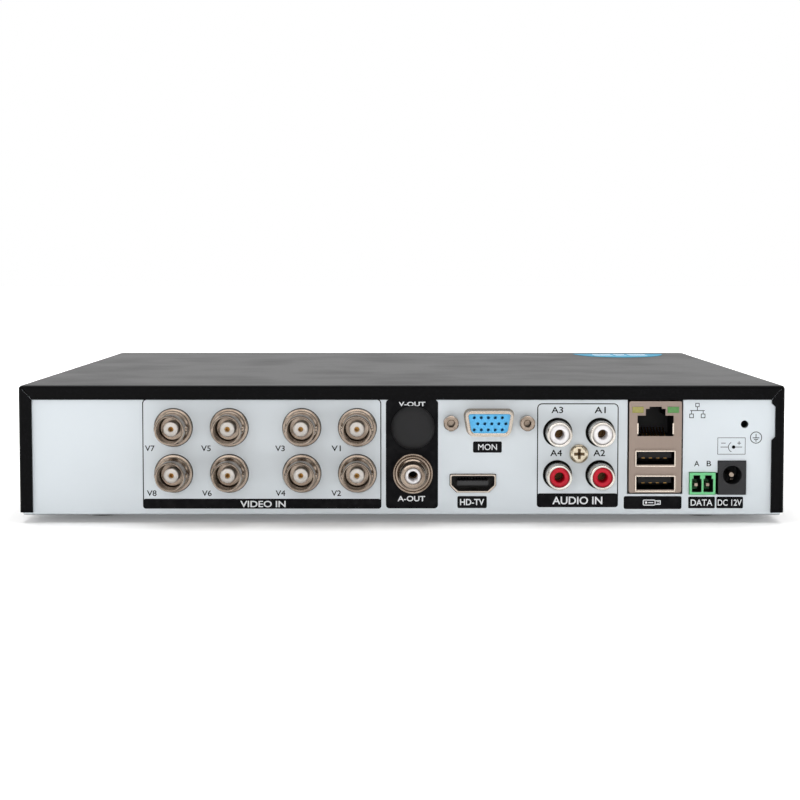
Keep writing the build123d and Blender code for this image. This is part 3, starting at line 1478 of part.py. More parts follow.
# ---------------------------------------------------------------- fan
def fan_frame():
    """The square frame of the fan with its motor plate on three spokes."""
    half = fan_size / 2
    frame = block((fan_inner_x, fan_y - half, fan_z - half), (fan_outer_x, fan_y + half, fan_z + half))
    frame = fillet(frame.edges().filter_by(Axis.X), radius=2.5)
    frame -= rod_x(fan_y, fan_z, fan_bore, fan_inner_x - 1, fan_outer_x + 1)
    spoke_x = fan_inner_x + 1.6
    frame += rod_x(fan_y, fan_z, fan_hub_radius, fan_inner_x, spoke_x)
    for angle in (30, 150, 270):
        spoke = block((fan_inner_x, -1.2, 0), (spoke_x, 1.2, fan_bore + 1.0))
        frame += Pos(0, fan_y, fan_z) * Rot(angle, 0, 0) * spoke
    frame += rod_x(fan_y, fan_z, fan_post_radius, fan_inner_x, fan_outer_x - 1.6)
    for y, z in fan_screw_places():
        frame -= rod_x(y, z, m3_radius + fit_gap, fan_inner_x - 1, fan_outer_x + 1)
    return frame


def fan_rotor():
    """The hub and seven twisted blades of the fan."""
    low_x, high_x = fan_inner_x + 1.9, fan_outer_x - 0.9
    hub = rod_x(0, 0, fan_hub_radius, low_x, high_x)
    hub = fillet(hub.edges().group_by(Axis.X)[-1], radius=1.0)
    hub -= rod_x(0, 0, fan_post_radius + bearing_gap, low_x - 1, high_x - 0.5)
    hub -= rod_x(0, 0, fan_hub_radius - 1.2, low_x - 1, high_x - 2.0) - rod_x(0, 0, 4.0, low_x, high_x)
    rotor = hub
    middle = (low_x + high_x) / 2
    for index in range(fan_blades):
        blade = Pos(middle, 0, 14.1) * Rot(0, 0, 38) * Box(7.2, 0.9, 7.8)
        blade = blade & rod_x(0, 0, fan_bore - 0.9, low_x + 0.2, high_x - 0.1)
        rotor += Rot(index * 360 / fan_blades, 0, 0) * blade
    return Pos(0, fan_y, fan_z) * rotor


# ---------------------------------------------------------------- the whole recorder
def front_board_parts():
    """The switch body and the remote receiver, soldered to the front board."""
    return together([key_switch(), remote_receiver()])


def all_parts():
    """Every named part of the recorder."""
    return {
        "chassis_tray": chassis_tray(),
        "top_cover": top_cover(),
        "cover_screws": cover_screw_pieces(),
        "feet": foot_pieces(),
        "top_label": top_label(),
        "front_fascia": front_fascia(),
        "front_window": front_window(),
        "power_key": power_key(),
        "switch_plunger": switch_plunger(),
        "front_board_parts": front_board_parts(),
        "front_board": front_board(),
        "status_lamps": lamp_pieces(),
        "main_board": main_board(),
        "board_posts": board_post_pieces(),
        "inner_screws": inner_screw_pieces(),
        "heat_sink": heat_sink(),
        "board_chips": board_chips(),
        "board_inductors": board_inductors(),
        "board_capacitors": board_capacitors(),
        "coin_cell": coin_cell(),
        "board_headers": board_headers(),
        "buzzer": buzzer(),
        "video_in_bodies": video_in_bodies(),
        "video_in_barrels": video_in_barrels(),
        "video_in_insulators": video_in_insulators(),
        "video_in_contacts": video_in_contacts(),
        "output_stack_body": output_stack_body(),
        "video_out_cap": video_out_cap(),
        "audio_out_barrel": audio_out_barrel(),
        "audio_in_body": audio_in_body(),
        "audio_in_barrels": audio_in_barrels(),
        "phono_white_inserts": phono_white_inserts(),
        "phono_red_inserts": phono_red_inserts(),
        "audio_in_screw": audio_in_screw(),
        "phono_contacts": phono_contacts(),
        "monitor_stack_body": monitor_stack_body(),
        "monitor_port_shell": monitor_port_shell(),
        "monitor_port_insert": monitor_port_insert(),
        "jackscrews": jackscrews(),
        "hd_port_shell": hd_port_shell(),
        "hd_port_tongue": hd_port_tongue(),
        "network_port_shell": network_port_shell(),
        "network_port_insert": network_port_insert(),
        "network_port_contacts": network_port_contacts(),
        "link_lamp_yellow": link_lamp(1),
        "link_lamp_green": link_lamp(-1),
        "data_terminal_body": data_terminal_body(),
        "data_terminal_pins": data_terminal_pins(),
        "power_jack_body": power_jack_body(),
        "power_jack_pin": power_jack_pin_piece(),
        "drive_base": drive_base(),
        "drive_cover": drive_cover(),
        "drive_board": drive_board(),
        "drive_socket": drive_socket(),
        "drive_platters": drive_platters(),
        "drive_arm": drive_arm(),
        "drive_screws": drive_screw_pieces(),
        "fan_frame": fan_frame(),
        "fan_rotor": fan_rotor(),
        "inner_leads": together([drive_data_lead(), inner_leads()]),
    }


if __name__ == "__main__":
    os.makedirs("parts", exist_ok=True)
    for name, shape in all_parts().items():
        export_step(shape, f"parts/{name}.step")
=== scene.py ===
"""The looks of a video recorder: finishes, printed legends and fine pieces around its fixed frame.

Metres, +Z up, the same frame as the design. The sockets are on the +Y side. Places on the rear
wall are drawn in millimetres from the left side of the case, seen from behind, and above the
underside of the tray.
"""

import logging
import math
from dataclasses import dataclass, field
from enum import Enum
from typing import Iterable, Mapping, Sequence, Union

import bmesh
import bpy
from mathutils import Matrix, Vector

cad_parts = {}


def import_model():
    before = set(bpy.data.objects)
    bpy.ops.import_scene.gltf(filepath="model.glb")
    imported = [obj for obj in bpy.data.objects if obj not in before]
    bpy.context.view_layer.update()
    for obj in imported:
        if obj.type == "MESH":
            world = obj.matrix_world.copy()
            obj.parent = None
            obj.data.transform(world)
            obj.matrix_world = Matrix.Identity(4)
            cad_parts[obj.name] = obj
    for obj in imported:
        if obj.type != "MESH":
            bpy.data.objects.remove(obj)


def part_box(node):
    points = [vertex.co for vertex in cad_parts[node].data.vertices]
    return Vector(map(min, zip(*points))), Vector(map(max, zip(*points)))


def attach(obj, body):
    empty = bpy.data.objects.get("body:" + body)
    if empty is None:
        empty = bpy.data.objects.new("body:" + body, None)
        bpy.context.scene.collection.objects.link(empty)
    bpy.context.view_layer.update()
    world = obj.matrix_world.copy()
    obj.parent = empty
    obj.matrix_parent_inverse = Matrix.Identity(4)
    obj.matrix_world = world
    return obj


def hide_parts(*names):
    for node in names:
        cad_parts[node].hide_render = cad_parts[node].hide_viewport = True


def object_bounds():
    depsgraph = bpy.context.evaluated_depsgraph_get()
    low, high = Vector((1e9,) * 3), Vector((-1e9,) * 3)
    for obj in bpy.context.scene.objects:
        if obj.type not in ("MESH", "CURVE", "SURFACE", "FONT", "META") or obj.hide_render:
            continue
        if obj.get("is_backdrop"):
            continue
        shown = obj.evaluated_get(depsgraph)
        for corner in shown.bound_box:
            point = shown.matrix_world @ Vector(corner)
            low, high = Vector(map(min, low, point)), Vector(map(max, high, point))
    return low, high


LOG = logging.getLogger("recorder")
MM = 0.001
Colour = tuple[float, float, float]
Point = tuple[float, float]
Shape = bmesh.types.BMesh
Part = tuple[Shape, Matrix]


class Body(Enum):
    """The rigid bodies that pieces ride on."""

    CASE = "root"
    CAP = "video_out_cap"


# ---------------------------------------------------------------- shader graphs
class Value:
    """A number socket that takes part in Python arithmetic: each operation adds one Math node."""

    def __init__(self, graph: "Nodes", socket: bpy.types.NodeSocket) -> None:
        """Keeps the graph and the socket."""
        self.graph = graph
        self.socket = socket

    def _math(self, operation: str, *terms: "Number") -> "Value":
        """Adds one Math node.

        Args:
            operation: the Math node's operation.
            terms: its inputs in order.

        Returns:
            The node's result.
        """
        node = self.graph.add("ShaderNodeMath", {"operation": operation}, dict(enumerate(terms)))
        return Value(self.graph, node.outputs[0])

    def __add__(self, other: "Number") -> "Value":
        """self + other."""
        return self._math("ADD", self, other)

    def __radd__(self, other: float) -> "Value":
        """other + self."""
        return self._math("ADD", other, self)

    def __sub__(self, other: "Number") -> "Value":
        """self - other."""
        return self._math("SUBTRACT", self, other)

    def __rsub__(self, other: float) -> "Value":
        """other - self."""
        return self._math("SUBTRACT", other, self)

    def __mul__(self, other: "Number") -> "Value":
        """self * other."""
        return self._math("MULTIPLY", self, other)

    def __rmul__(self, other: float) -> "Value":
        """other * self."""
        return self._math("MULTIPLY", other, self)

    def __truediv__(self, other: "Number") -> "Value":
        """self / other."""
        return self._math("DIVIDE", self, other)

    def __rtruediv__(self, other: float) -> "Value":
        """other / self."""
        return self._math("DIVIDE", other, self)

    def __abs__(self) -> "Value":
        """The size of self without its sign."""
        return self._math("ABSOLUTE", self)

    def clamp(self) -> "Value":
        """self held between 0 and 1."""
        return self._math("MINIMUM", self._math("MAXIMUM", self, 0.0), 1.0)

    def above(self, limit: float, soft: float) -> "Value":
        """0 below the limit and 1 above it, with a ramp as wide as soft round the limit."""
        return ((self - (limit - soft / 2)) / soft).clamp()

    def between(self, low: float, high: float, soft: float) -> "Value":
        """1 between two limits and 0 outside them, with ramps as wide as soft."""
        return self.above(low, soft) * (1.0 - self.above(high, soft))


Number = Union[Value, float]
Input = Union[Value, bpy.types.NodeSocket, float, Sequence[float]]


class Nodes:
    """A node tree under construction."""

    def __init__(self, tree: bpy.types.NodeTree) -> None:
        """Keeps the tree, emptied."""
        self.tree = tree
        tree.nodes.clear()

    def _plug(self, target: bpy.types.NodeSocket, value: Input) -> None:
        """Links a value to a socket, or sets the socket to it."""
        if isinstance(value, Value):
            self.tree.links.new(value.socket, target)
        elif isinstance(value, bpy.types.NodeSocket):
            self.tree.links.new(value, target)
        elif isinstance(value, (tuple, list)) and target.type == "RGBA":
            target.default_value = (*value, 1.0)
        else:
            target.default_value = value

    def add(self, kind: str, settings: Mapping[str, object],
            inputs: Mapping[object, Input]) -> bpy.types.Node:
        """Adds one node.

        Args:
            kind: the node's type.
            settings: its properties, which are set first.
            inputs: values or links for its sockets, by name or by number.

        Returns:
            The new node.
        """
        node = self.tree.nodes.new(kind)
        for key, value in settings.items():
            setattr(node, key, value)
        for key, value in inputs.items():
            self._plug(node.inputs[key], value)
        return node

    def mix(self, factor: Number, low: Input, high: Input) -> bpy.types.NodeSocket:
        """A colour between two colours."""
        return self.add("ShaderNodeMix", {"data_type": "RGBA"}, {0: factor, 6: low, 7: high}).outputs[2]

    def axis(self, letter: str, place: bpy.types.NodeSocket) -> Value:
        """One coordinate of a place or a direction."""
        node = self.add("ShaderNodeSeparateXYZ", {}, {0: place})
        return Value(self, node.outputs["XYZ".index(letter)])


class Graph(Nodes):
    """A material under construction: one Principled shader and the nodes that feed it."""

    def __init__(self, name: str) -> None:
        """Starts the material with its shader, output and object coordinates."""
        self.material = bpy.data.materials.new(name)
        self.material.use_nodes = True
        super().__init__(self.material.node_tree)
        self.shader = self.add("ShaderNodeBsdfPrincipled", {}, {})
        self.add("ShaderNodeOutputMaterial", {}, {"Surface": self.shader.outputs[0]})
        self.place = self.add("ShaderNodeTexCoord", {}, {}).outputs["Object"]

    def feed(self, **inputs: Input) -> None:
        """Sets or links the shader's sockets; an underscore in a name stands for a space."""
        for key, value in inputs.items():
            self._plug(self.shader.inputs[key.replace("_", " ")], value)

    def stretched(self, x: float, y: float, z: float) -> bpy.types.NodeSocket:
        """Object coordinates scaled along each axis: under 1 makes a pattern longer that way."""
        return self.add("ShaderNodeMapping", {}, {"Vector": self.place, "Scale": (x, y, z)}).outputs[0]

    def along(self, letter: str) -> Value:
        """One coordinate of the place on the object, in metres."""
        return self.axis(letter, self.place)

    def noise(self, size: float, detail: float = 3.0, vector: bpy.types.NodeSocket | None = None) -> Value:
        """Soft noise from 0 to 1 with features of about this size in metres."""
        inputs = {"Vector": vector or self.place, "Scale": 1.0 / size, "Detail": detail}
        return Value(self, self.add("ShaderNodeTexNoise", {}, inputs).outputs["Fac"])

    def cells(self, size: float) -> Value:
        """Distance from the middle in a pattern of cells of about this size in metres."""
        inputs = {"Vector": self.place, "Scale": 1.0 / size}
        return Value(self, self.add("ShaderNodeTexVoronoi", {}, inputs).outputs["Distance"])

    def bump(self, height: Value, depth: float) -> None:
        """Feeds the shader's normal from a height of 0 to 1 that stands for this depth in metres."""
        node = self.add("ShaderNodeBump", {}, {"Height": height, "Distance": depth, "Strength": 1.0})
        self.tree.links.new(node.outputs[0], self.shader.inputs["Normal"])


def scaled(colour: Colour, factor: float) -> Colour:
    """A colour made lighter or darker."""
    return tuple(min(1.0, c * factor) for c in colour)


# ---------------------------------------------------------------- finishes
@dataclass(frozen=True)
class Finish:
    """A finish: how one kind of surface on the recorder looks."""

    name: str

    def build(self) -> bpy.types.Material:
        """Makes the finish's material."""
        graph = Graph(self.name)
        self.lay(graph)
        return graph.material

    def lay(self, graph: Graph) -> None:
        """Adds the finish's own nodes."""
        raise NotImplementedError


@dataclass(frozen=True)
class PowderCoat(Finish):
    """Baked powder paint: a fine pebbled skin over slight waves, duller where it is dusty."""

    colour: Colour = (0.0022, 0.0022, 0.0026)
    pebble: float = 0.0007
    depth: float = 0.000025
    roughness: float = 0.29
    level: float = 0.05

    def lay(self, graph: Graph) -> None:
        """Adds the pebbles, the waves and a thin film of dust."""
        pebbles = graph.noise(self.pebble, 2.0)
        waves = graph.noise(0.012, 2.0)
        dust = graph.noise(0.03, 5.0).above(0.6, 0.4)
        speckle = graph.mix(pebbles.above(0.6, 0.2), self.colour, scaled(self.colour, 2.2))
        dusty = tuple(c + 0.002 for c in self.colour)
        graph.feed(Base_Color=graph.mix(dust * 0.5, speckle, dusty),
                   Roughness=0.08 * dust + 0.06 * pebbles + self.roughness,
                   Specular_IOR_Level=self.level)
        graph.bump(pebbles * 0.7 + waves * 0.3, self.depth)


@dataclass(frozen=True)
class PanelPaint(Finish):
    """White paint on the outside of the rear wall; the rest of the tray is zinc-coated steel."""

    wall: float = 0.0
    colour: Colour = (0.69, 0.745, 0.785)
    zinc: Colour = (0.52, 0.54, 0.56)
    spangle: float = 0.009

    def lay(self, graph: Graph) -> None:
        """Adds the paint's faint mottling and the zinc's crystals, parted at the wall's face."""
        painted = graph.along("Y").above(self.wall - 0.3 * MM, 0.2 * MM)
        mottle = graph.noise(0.02, 4.0)
        peel = graph.noise(0.0012, 2.0)
        white = graph.mix(mottle, scaled(self.colour, 0.97), self.colour)
        streak = graph.noise(0.004, 5.0, graph.stretched(1.0, 0.08, 1.0))
        metal = graph.mix(graph.cells(self.spangle) * 0.9, self.zinc, scaled(self.zinc, 0.72))
        bare = 1.0 - painted
        graph.feed(Base_Color=graph.mix(painted, metal, white),
                   Metallic=bare,
                   Roughness=(0.05 * peel + 0.40) * painted + (0.25 * streak + 0.30) * bare)
        graph.bump(peel, 0.000005)


@dataclass(frozen=True)
class TurnedMetal(Finish):
    """Turned and plated metal: rings left by the tool, slight clouding and a warm tint."""

    colour: Colour = (0.33, 0.27, 0.22)
    dull: Colour = (0.20, 0.155, 0.12)
    roughness: float = 0.11
    ring: float = 0.00025
    along: str = "Y"

    def lay(self, graph: Graph) -> None:
        """Adds rings across the turning axis and patches of clouding."""
        stretch = tuple(1.0 if letter == self.along else 0.02 for letter in "XYZ")
        rings = graph.noise(self.ring, 2.0, graph.stretched(*stretch))
        cloud = graph.noise(0.004, 4.0)
        graph.feed(Base_Color=graph.mix(cloud.above(0.55, 0.4), self.colour, self.dull),
                   Metallic=1.0,
                   Roughness=0.10 * rings + 0.10 * cloud + self.roughness)
        graph.bump(rings, 0.0000015)


@dataclass(frozen=True)
class SheetMetal(Finish):
    """Rolled and plated sheet: fine straight streaks, satin, with a little clouding."""

    colour: Colour = (0.42, 0.36, 0.32)
    roughness: float = 0.34
    streak: float = 0.0006
    stretch: tuple[float, float, float] = (1.0, 1.0, 0.03)

    def lay(self, graph: Graph) -> None:
        """Adds the streaks and the clouding."""
        streaks = graph.noise(self.streak, 4.0, graph.stretched(*self.stretch))
        cloud = graph.noise(0.009, 4.0)
        blend = streaks * 0.6 + cloud * 0.4
        graph.feed(Base_Color=graph.mix(blend, self.colour, scaled(self.colour, 1.25)),
                   Metallic=1.0,
                   Roughness=0.16 * streaks - 0.06 * cloud + self.roughness)
        graph.bump(streaks, 0.000004)


@dataclass(frozen=True)
class Moulding(Finish):
    """Moulded plastic or rubber: a spark-eroded grain, faint flow marks and a slight colour drift."""

    colour: Colour = (0.02, 0.02, 0.021)
    roughness: float = 0.45
    grain: float = 0.0004
    depth: float = 0.00001
    drift: float = 0.12
    level: float = 0.5

    def lay(self, graph: Graph) -> None:
        """Adds the grain, the flow marks and the drift."""
        grain = graph.noise(self.grain, 3.0)
        flow = graph.noise(0.007, 3.0, graph.stretched(1.0, 0.35, 1.0))
        low, high = scaled(self.colour, 1.0 - self.drift), scaled(self.colour, 1.0 + self.drift)
        graph.feed(Base_Color=graph.mix(flow, low, high),
                   Roughness=0.10 * grain + 0.05 * flow + self.roughness,
                   Specular_IOR_Level=self.level)
        graph.bump(grain * 0.8 + flow * 0.2, self.depth)


@dataclass(frozen=True)
class Ink(Finish):
    """Screen-printed ink: nearly flat, with the weave of the screen and slightly uneven cover."""

    colour: Colour = (0.005, 0.005, 0.006)
    roughness: float = 0.42

    def lay(self, graph: Graph) -> None:
        """Adds the screen's weave and the uneven cover."""
        cover = graph.noise(0.0025, 4.0)
        weave = graph.noise(0.0002, 1.0)
        thin = tuple(c * 0.92 + 0.006 for c in self.colour)
        graph.feed(Base_Color=graph.mix(cover.above(0.55, 0.3), self.colour, thin),
                   Roughness=0.12 * weave + 0.05 * cover + self.roughness,
                   Specular_IOR_Level=0.04)
        graph.bump(weave, 0.000002)


@dataclass(frozen=True)
class LabelFilm(Finish):
    """A glossy blue adhesive film that fades towards one end, printed with plain white bars."""

    colour: Colour = (0.0, 0.26, 0.42)
    deep: Colour = (0.0, 0.20, 0.34)
    start: float = 0.0
    length: float = 1.0
    middle: float = 0.0
    bars: tuple[Point, ...] = ((0.16, 0.26), (0.42, 0.46), (0.54, 0.58))
    breaks: Point = (0.0024, 0.0115)

    def lay(self, graph: Graph) -> None:
        """Adds the fade, the bars and the film's slight waviness."""
        along = (graph.along("Y") - self.start) / self.length
        across = abs(graph.along("X") - self.middle)
        bars = sum(along.between(low, high, 0.01) for low, high in self.bars)
        gap, end = self.breaks
        inside = 1.0 - across.between(gap, gap * 1.5, 0.0003) - across.above(end, 0.0003)
        waves = graph.noise(0.006, 2.0)
        blue = graph.mix((along + waves * 0.1).clamp(), self.deep, self.colour)
        graph.feed(Base_Color=graph.mix(bars * inside, blue, (0.75, 0.80, 0.85)),
                   Roughness=0.10 * waves + 0.30,
                   Specular_IOR_Level=0.02)
        graph.bump(waves, 0.00002)


@dataclass(frozen=True)
class Lens(Finish):
    """Tinted clear plastic: glossy and a little cloudy inside."""

    colour: Colour = (0.3, 0.6, 0.1)
    cloudy: Colour = (0.5, 0.8, 0.3)
    clear: float = 0.25

    def lay(self, graph: Graph) -> None:
        """Adds the clouds inside the lens."""
        cloud = graph.noise(0.0012, 3.0)
        graph.feed(Base_Color=graph.mix(cloud, self.colour, self.cloudy),
                   Roughness=0.12 * cloud + 0.10,
                   Transmission_Weight=self.clear, IOR=1.5,
                   Coat_Weight=0.4, Coat_Roughness=0.05)


@dataclass(frozen=True)
class SmokedPlate(Finish):
    """A smoked window: nearly black, glossy, with faint rubbing marks."""

    colour: Colour = (0.010, 0.010, 0.012)
    clear: float = 0.35

    def lay(self, graph: Graph) -> None:
        """Adds the rubbing marks."""
        rub = graph.noise(0.003, 5.0, graph.stretched(0.15, 1.0, 1.0))
        haze = graph.noise(0.03, 3.0)
        graph.feed(Base_Color=graph.mix(haze, self.colour, scaled(self.colour, 2.0)),
                   Roughness=0.10 * rub.above(0.55, 0.3) + 0.05,
                   Transmission_Weight=self.clear, IOR=1.49, Coat_Weight=0.3, Coat_Roughness=0.04)


@dataclass(frozen=True)
class BoardMask(Finish):
    """A circuit board: solder mask over raised tracks, with plated pads here and there."""

    mask: Colour = (0.008, 0.085, 0.030)
    track: Colour = (0.020, 0.170, 0.060)
    pad: Colour = (0.60, 0.58, 0.52)
    pitch: float = 0.0016

    def lay(self, graph: Graph) -> None:
        """Adds the tracks as raised lines and the pads as bright dots."""
        bricks = {"Vector": graph.place, "Scale": 1.0, "Mortar Size": self.pitch * 0.16,
                  "Brick Width": self.pitch * 9.0, "Row Height": self.pitch}
        rows = graph.add("ShaderNodeTexBrick", {"offset": 0.37}, bricks)
        patch = graph.noise(0.012, 2.0).above(0.5, 0.1)
        lines = Value(graph, rows.outputs["Fac"]) * patch
        pads = (1.0 - graph.cells(self.pitch * 2.6).above(0.16, 0.04)) * (1.0 - patch)
        green = graph.mix(lines, self.mask, self.track)
        graph.feed(Base_Color=graph.mix(pads, green, self.pad),
                   Metallic=pads, Roughness=0.12 * pads + 0.06 * graph.noise(0.004) + 0.28)
        graph.bump(lines * 0.5 + pads * 0.5, 0.00003)


@dataclass(frozen=True)
class CastMetal(Finish):
    """A die casting: dull grey with a sandy skin and flow marks."""

    colour: Colour = (0.33, 0.34, 0.35)
    roughness: float = 0.46

    def lay(self, graph: Graph) -> None:
        """Adds the sandy skin and the flow marks."""
        sand = graph.noise(0.0005, 3.0)
        flow = graph.noise(0.015, 5.0, graph.stretched(0.4, 1.0, 1.0))
        graph.feed(Base_Color=graph.mix(flow, self.colour, scaled(self.colour, 1.3)),
                   Metallic=0.9, Roughness=0.14 * sand + self.roughness)
        graph.bump(sand, 0.00003)


@dataclass(frozen=True)
class CanSleeve(Finish):
    """A capacitor: a dark sleeve with a pale stripe, under a bare scored top."""

    sleeve: Colour = (0.012, 0.018, 0.045)
    stripe: Colour = (0.45, 0.46, 0.48)
    metal: Colour = (0.62, 0.63, 0.64)
    top: float = 0.0195

    def lay(self, graph: Graph) -> None:
        """Adds the stripe by bands across the board and the bare top by height."""
        bands = graph.noise(0.006, 0.0).above(0.56, 0.02)
        bare = graph.along("Z").above(self.top, 0.1 * MM)
        rub = graph.noise(0.001, 4.0)
        side = graph.mix(bands, self.sleeve, self.stripe)
        graph.feed(Base_Color=graph.mix(bare, side, self.metal), Metallic=bare,
                   Roughness=0.15 * rub + 0.30)
        graph.bump(rub, 0.000008)


# ---------------------------------------------------------------- shared finishes
POWDER = PowderCoat("powder_coat_black")
NICKEL = TurnedMetal("nickel_turned")
RING_PLATE = TurnedMetal("phono_ring_plate", colour=(0.62, 0.59, 0.55), dull=(0.50, 0.46, 0.41),
                         roughness=0.12)
# Near-black brown pins: painted shade deep inside the phono holes, darker than the contacts' own metal.
PIN_SHADE = TurnedMetal("pin_painted_shade", colour=(0.16, 0.09, 0.04), dull=(0.05, 0.03, 0.015), roughness=0.3)
PORT_SHEET = SheetMetal("port_sheet", colour=(0.25, 0.20, 0.17), roughness=0.34)
BRIGHT_SHEET = SheetMetal("shell_sheet", colour=(0.40, 0.35, 0.30), roughness=0.16)
# A brighter copy of the port sheet: painted highlight on the folded edges of the openings.
EDGE_HIGHLIGHT_SHEET = SheetMetal("port_sheet_edge_highlight", colour=(0.62, 0.55, 0.47), roughness=0.22)
SCREW_ZINC = TurnedMetal("screw_zinc", colour=(0.60, 0.54, 0.43), dull=(0.44, 0.36, 0.25),
                         roughness=0.16, along="Z")
# Near-black brown for the screw's cross recess: painted shade in the recess, not the screw's own metal.
RECESS_SHADE = TurnedMetal("screw_recess_shade", colour=(0.12, 0.08, 0.045), dull=(0.04, 0.025, 0.015), roughness=0.3)
SCREW_BLACK = TurnedMetal("screw_black_zinc", colour=(0.05, 0.05, 0.055), dull=(0.03, 0.03, 0.03),
                          roughness=0.3)
GOLD = TurnedMetal("contact_gold", colour=(0.60, 0.36, 0.12), dull=(0.34, 0.19, 0.06), roughness=0.2)
BRASS = TurnedMetal("post_brass", colour=(0.70, 0.52, 0.24), dull=(0.45, 0.32, 0.14), roughness=0.25,
                    along="Z")
ALUMINIUM = SheetMetal("extruded_aluminium", colour=(0.62, 0.63, 0.64), roughness=0.32,
                       stretch=(1.0, 0.03, 1.0))
CELL_STEEL = SheetMetal("cell_steel", colour=(0.60, 0.60, 0.58), roughness=0.25, stretch=(0.03, 1.0, 1.0))
LID_STEEL = SheetMetal("drive_lid_steel", colour=(0.55, 0.56, 0.57), roughness=0.28,
                       stretch=(0.03, 1.0, 1.0))
MIRROR = TurnedMetal("disc_mirror", colour=(0.80, 0.81, 0.82), dull=(0.74, 0.75, 0.76), roughness=0.03,
                     along="Z")
CASTING = CastMetal("drive_casting")
GREEN_MASK = BoardMask("board_green_mask")
SOCKET_BLACK = Moulding("socket_black", colour=(0.005, 0.005, 0.0055), roughness=0.42, level=0.25)
JACK_GREY = Moulding("jack_dark_grey", colour=(0.024, 0.024, 0.026), roughness=0.48, level=0.3)
TONGUE_GREY = Moulding("port_tongue_grey", colour=(0.03, 0.03, 0.032), roughness=0.4, level=0.4)
CAP_GREY = Moulding("cap_dark_grey", colour=(0.009, 0.009, 0.010), roughness=0.5, grain=0.0003,
                    depth=0.00002,
                    level=0.3)
CHIP = Moulding("chip_epoxy", colour=(0.018, 0.018, 0.020), roughness=0.5, grain=0.0002)
FERRITE = Moulding("inductor_ferrite", colour=(0.06, 0.06, 0.065), roughness=0.6)
HEADER = Moulding("header_white", colour=(0.72, 0.70, 0.62), roughness=0.4)
SWITCH = Moulding("switch_black", colour=(0.015, 0.015, 0.016), roughness=0.4)
INSULATOR = Moulding("insulator_white", colour=(0.93, 0.89, 0.84), roughness=0.34, drift=0.03,
                     depth=0.000004)
PHONO_WHITE = Moulding("phono_white", colour=(0.86, 0.84, 0.85), roughness=0.28, drift=0.02, depth=0.000003)
PHONO_RED = Moulding("phono_red", colour=(0.50, 0.004, 0.020), roughness=0.28, drift=0.10, level=0.25,
                     depth=0.000003)
PORT_BLUE = Moulding("port_sky_blue", colour=(0.075, 0.42, 0.76), roughness=0.36, drift=0.06, depth=0.000004)
TERMINAL_GREEN = Moulding("terminal_mint", colour=(0.15, 0.58, 0.24), roughness=0.38, drift=0.08,
                          depth=0.000005)
FASCIA = Moulding("fascia_black", colour=(0.014, 0.014, 0.015), roughness=0.42, grain=0.0005, depth=0.00002)
KEY = Moulding("key_black", colour=(0.022, 0.022, 0.024), roughness=0.30)
FAN = Moulding("fan_black", colour=(0.014, 0.014, 0.015), roughness=0.38)
RUBBER = Moulding("foot_rubber", colour=(0.012, 0.012, 0.012), roughness=0.72, grain=0.0006,
                  depth=0.00003, level=0.35)
LEAD = Moulding("lead_sleeve", colour=(0.012, 0.012, 0.013), roughness=0.45, grain=0.0008)
LAMP_YELLOW = Lens("lamp_yellow", colour=(0.26, 0.23, 0.015), cloudy=(0.50, 0.46, 0.10))
LAMP_GREEN = Lens("lamp_green", colour=(0.030, 0.19, 0.020), cloudy=(0.10, 0.40, 0.06))
LAMP_CLEAR = Lens("lamp_clear", colour=(0.60, 0.62, 0.64), cloudy=(0.80, 0.82, 0.84), clear=0.6)
WINDOW = SmokedPlate("smoked_window")
BLACK_INK = Ink("ink_black")
WHITE_INK = Ink("ink_white", colour=(0.80, 0.82, 0.84))
GREY_INK = Ink("ink_grey", colour=(0.30, 0.31, 0.32))


# ---------------------------------------------------------------- drawing
@dataclass
class Frame:
    """The places that every sub-assembly works from, read from the fixed frame."""

    left: float = field(init=False)
    under: float = field(init=False)
    wall: float = field(init=False)
    front: float = field(init=False)

    def __post_init__(self) -> None:
        """Reads the fascia's and the tray's boxes."""
        low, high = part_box("front_fascia")
        tray_low, tray_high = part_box("chassis_tray")
        self.left, self.front = high.x, low.y
        self.under, self.wall = tray_low.z, tray_high.y

    def rear(self, across: float, up: float) -> Matrix:
        """How a drawing in millimetres lies on the rear wall.

        Args:
            across: the drawing's middle from the left side of the case, seen from behind.
            up: the drawing's middle above the underside of the tray.

        Returns:
            A matrix that takes the drawing's x to the right, y up and z out of the wall.
        """
        return self.laid(Vector((self.left - across * MM, self.wall, self.under + up * MM)), -1)

    def face(self, x: float, z: float) -> Matrix:
        """How a drawing in millimetres lies on the front of the fascia, as rear does on the wall."""
        return self.laid(Vector((x, self.front, z)), 1)

    @staticmethod
    def laid(spot: Vector, side: int) -> Matrix:
        """How a drawing in millimetres stands upright at a place, seen from behind (-1) or in front (1)."""
        turn = Matrix(((side, 0, 0), (0, 0, -side), (0, 1, 0))).to_4x4()
        return Matrix.Translation(spot) @ turn @ Matrix.Diagonal((MM, MM, MM, 1.0))


def rounded_plate(width: float, height: float, corner: float, low: float, high: float,
                  line: float = 0.0) -> Shape:
    """A flat plate with round corners, or only its rim.

    Args:
        width: size across.
        height: size up.
        corner: corner radius.
        low: where the plate starts, out of the drawing.
        high: where it ends.
        line: the rim's width, or 0 for a full plate.

    Returns:
        The plate, centred on the drawing's middle.
    """
    shape = bmesh.new()
    bmesh.ops.create_grid(shape, x_segments=1, y_segments=1, size=0.5,
                          matrix=Matrix.Diagonal((width, height, 1.0, 1.0)))
    if corner > 0.0:
        round_corners(shape, corner)
    keep_rim(shape, line)
    return thickened(shape, low, high)


def round_corners(shape: Shape, corner: float) -> None:
    """Rounds the corners of a flat shape."""
    bmesh.ops.bevel(shape, geom=shape.verts[:], offset=corner, offset_type="OFFSET", segments=6,
                    profile=0.5, affect="VERTICES", material=-1)


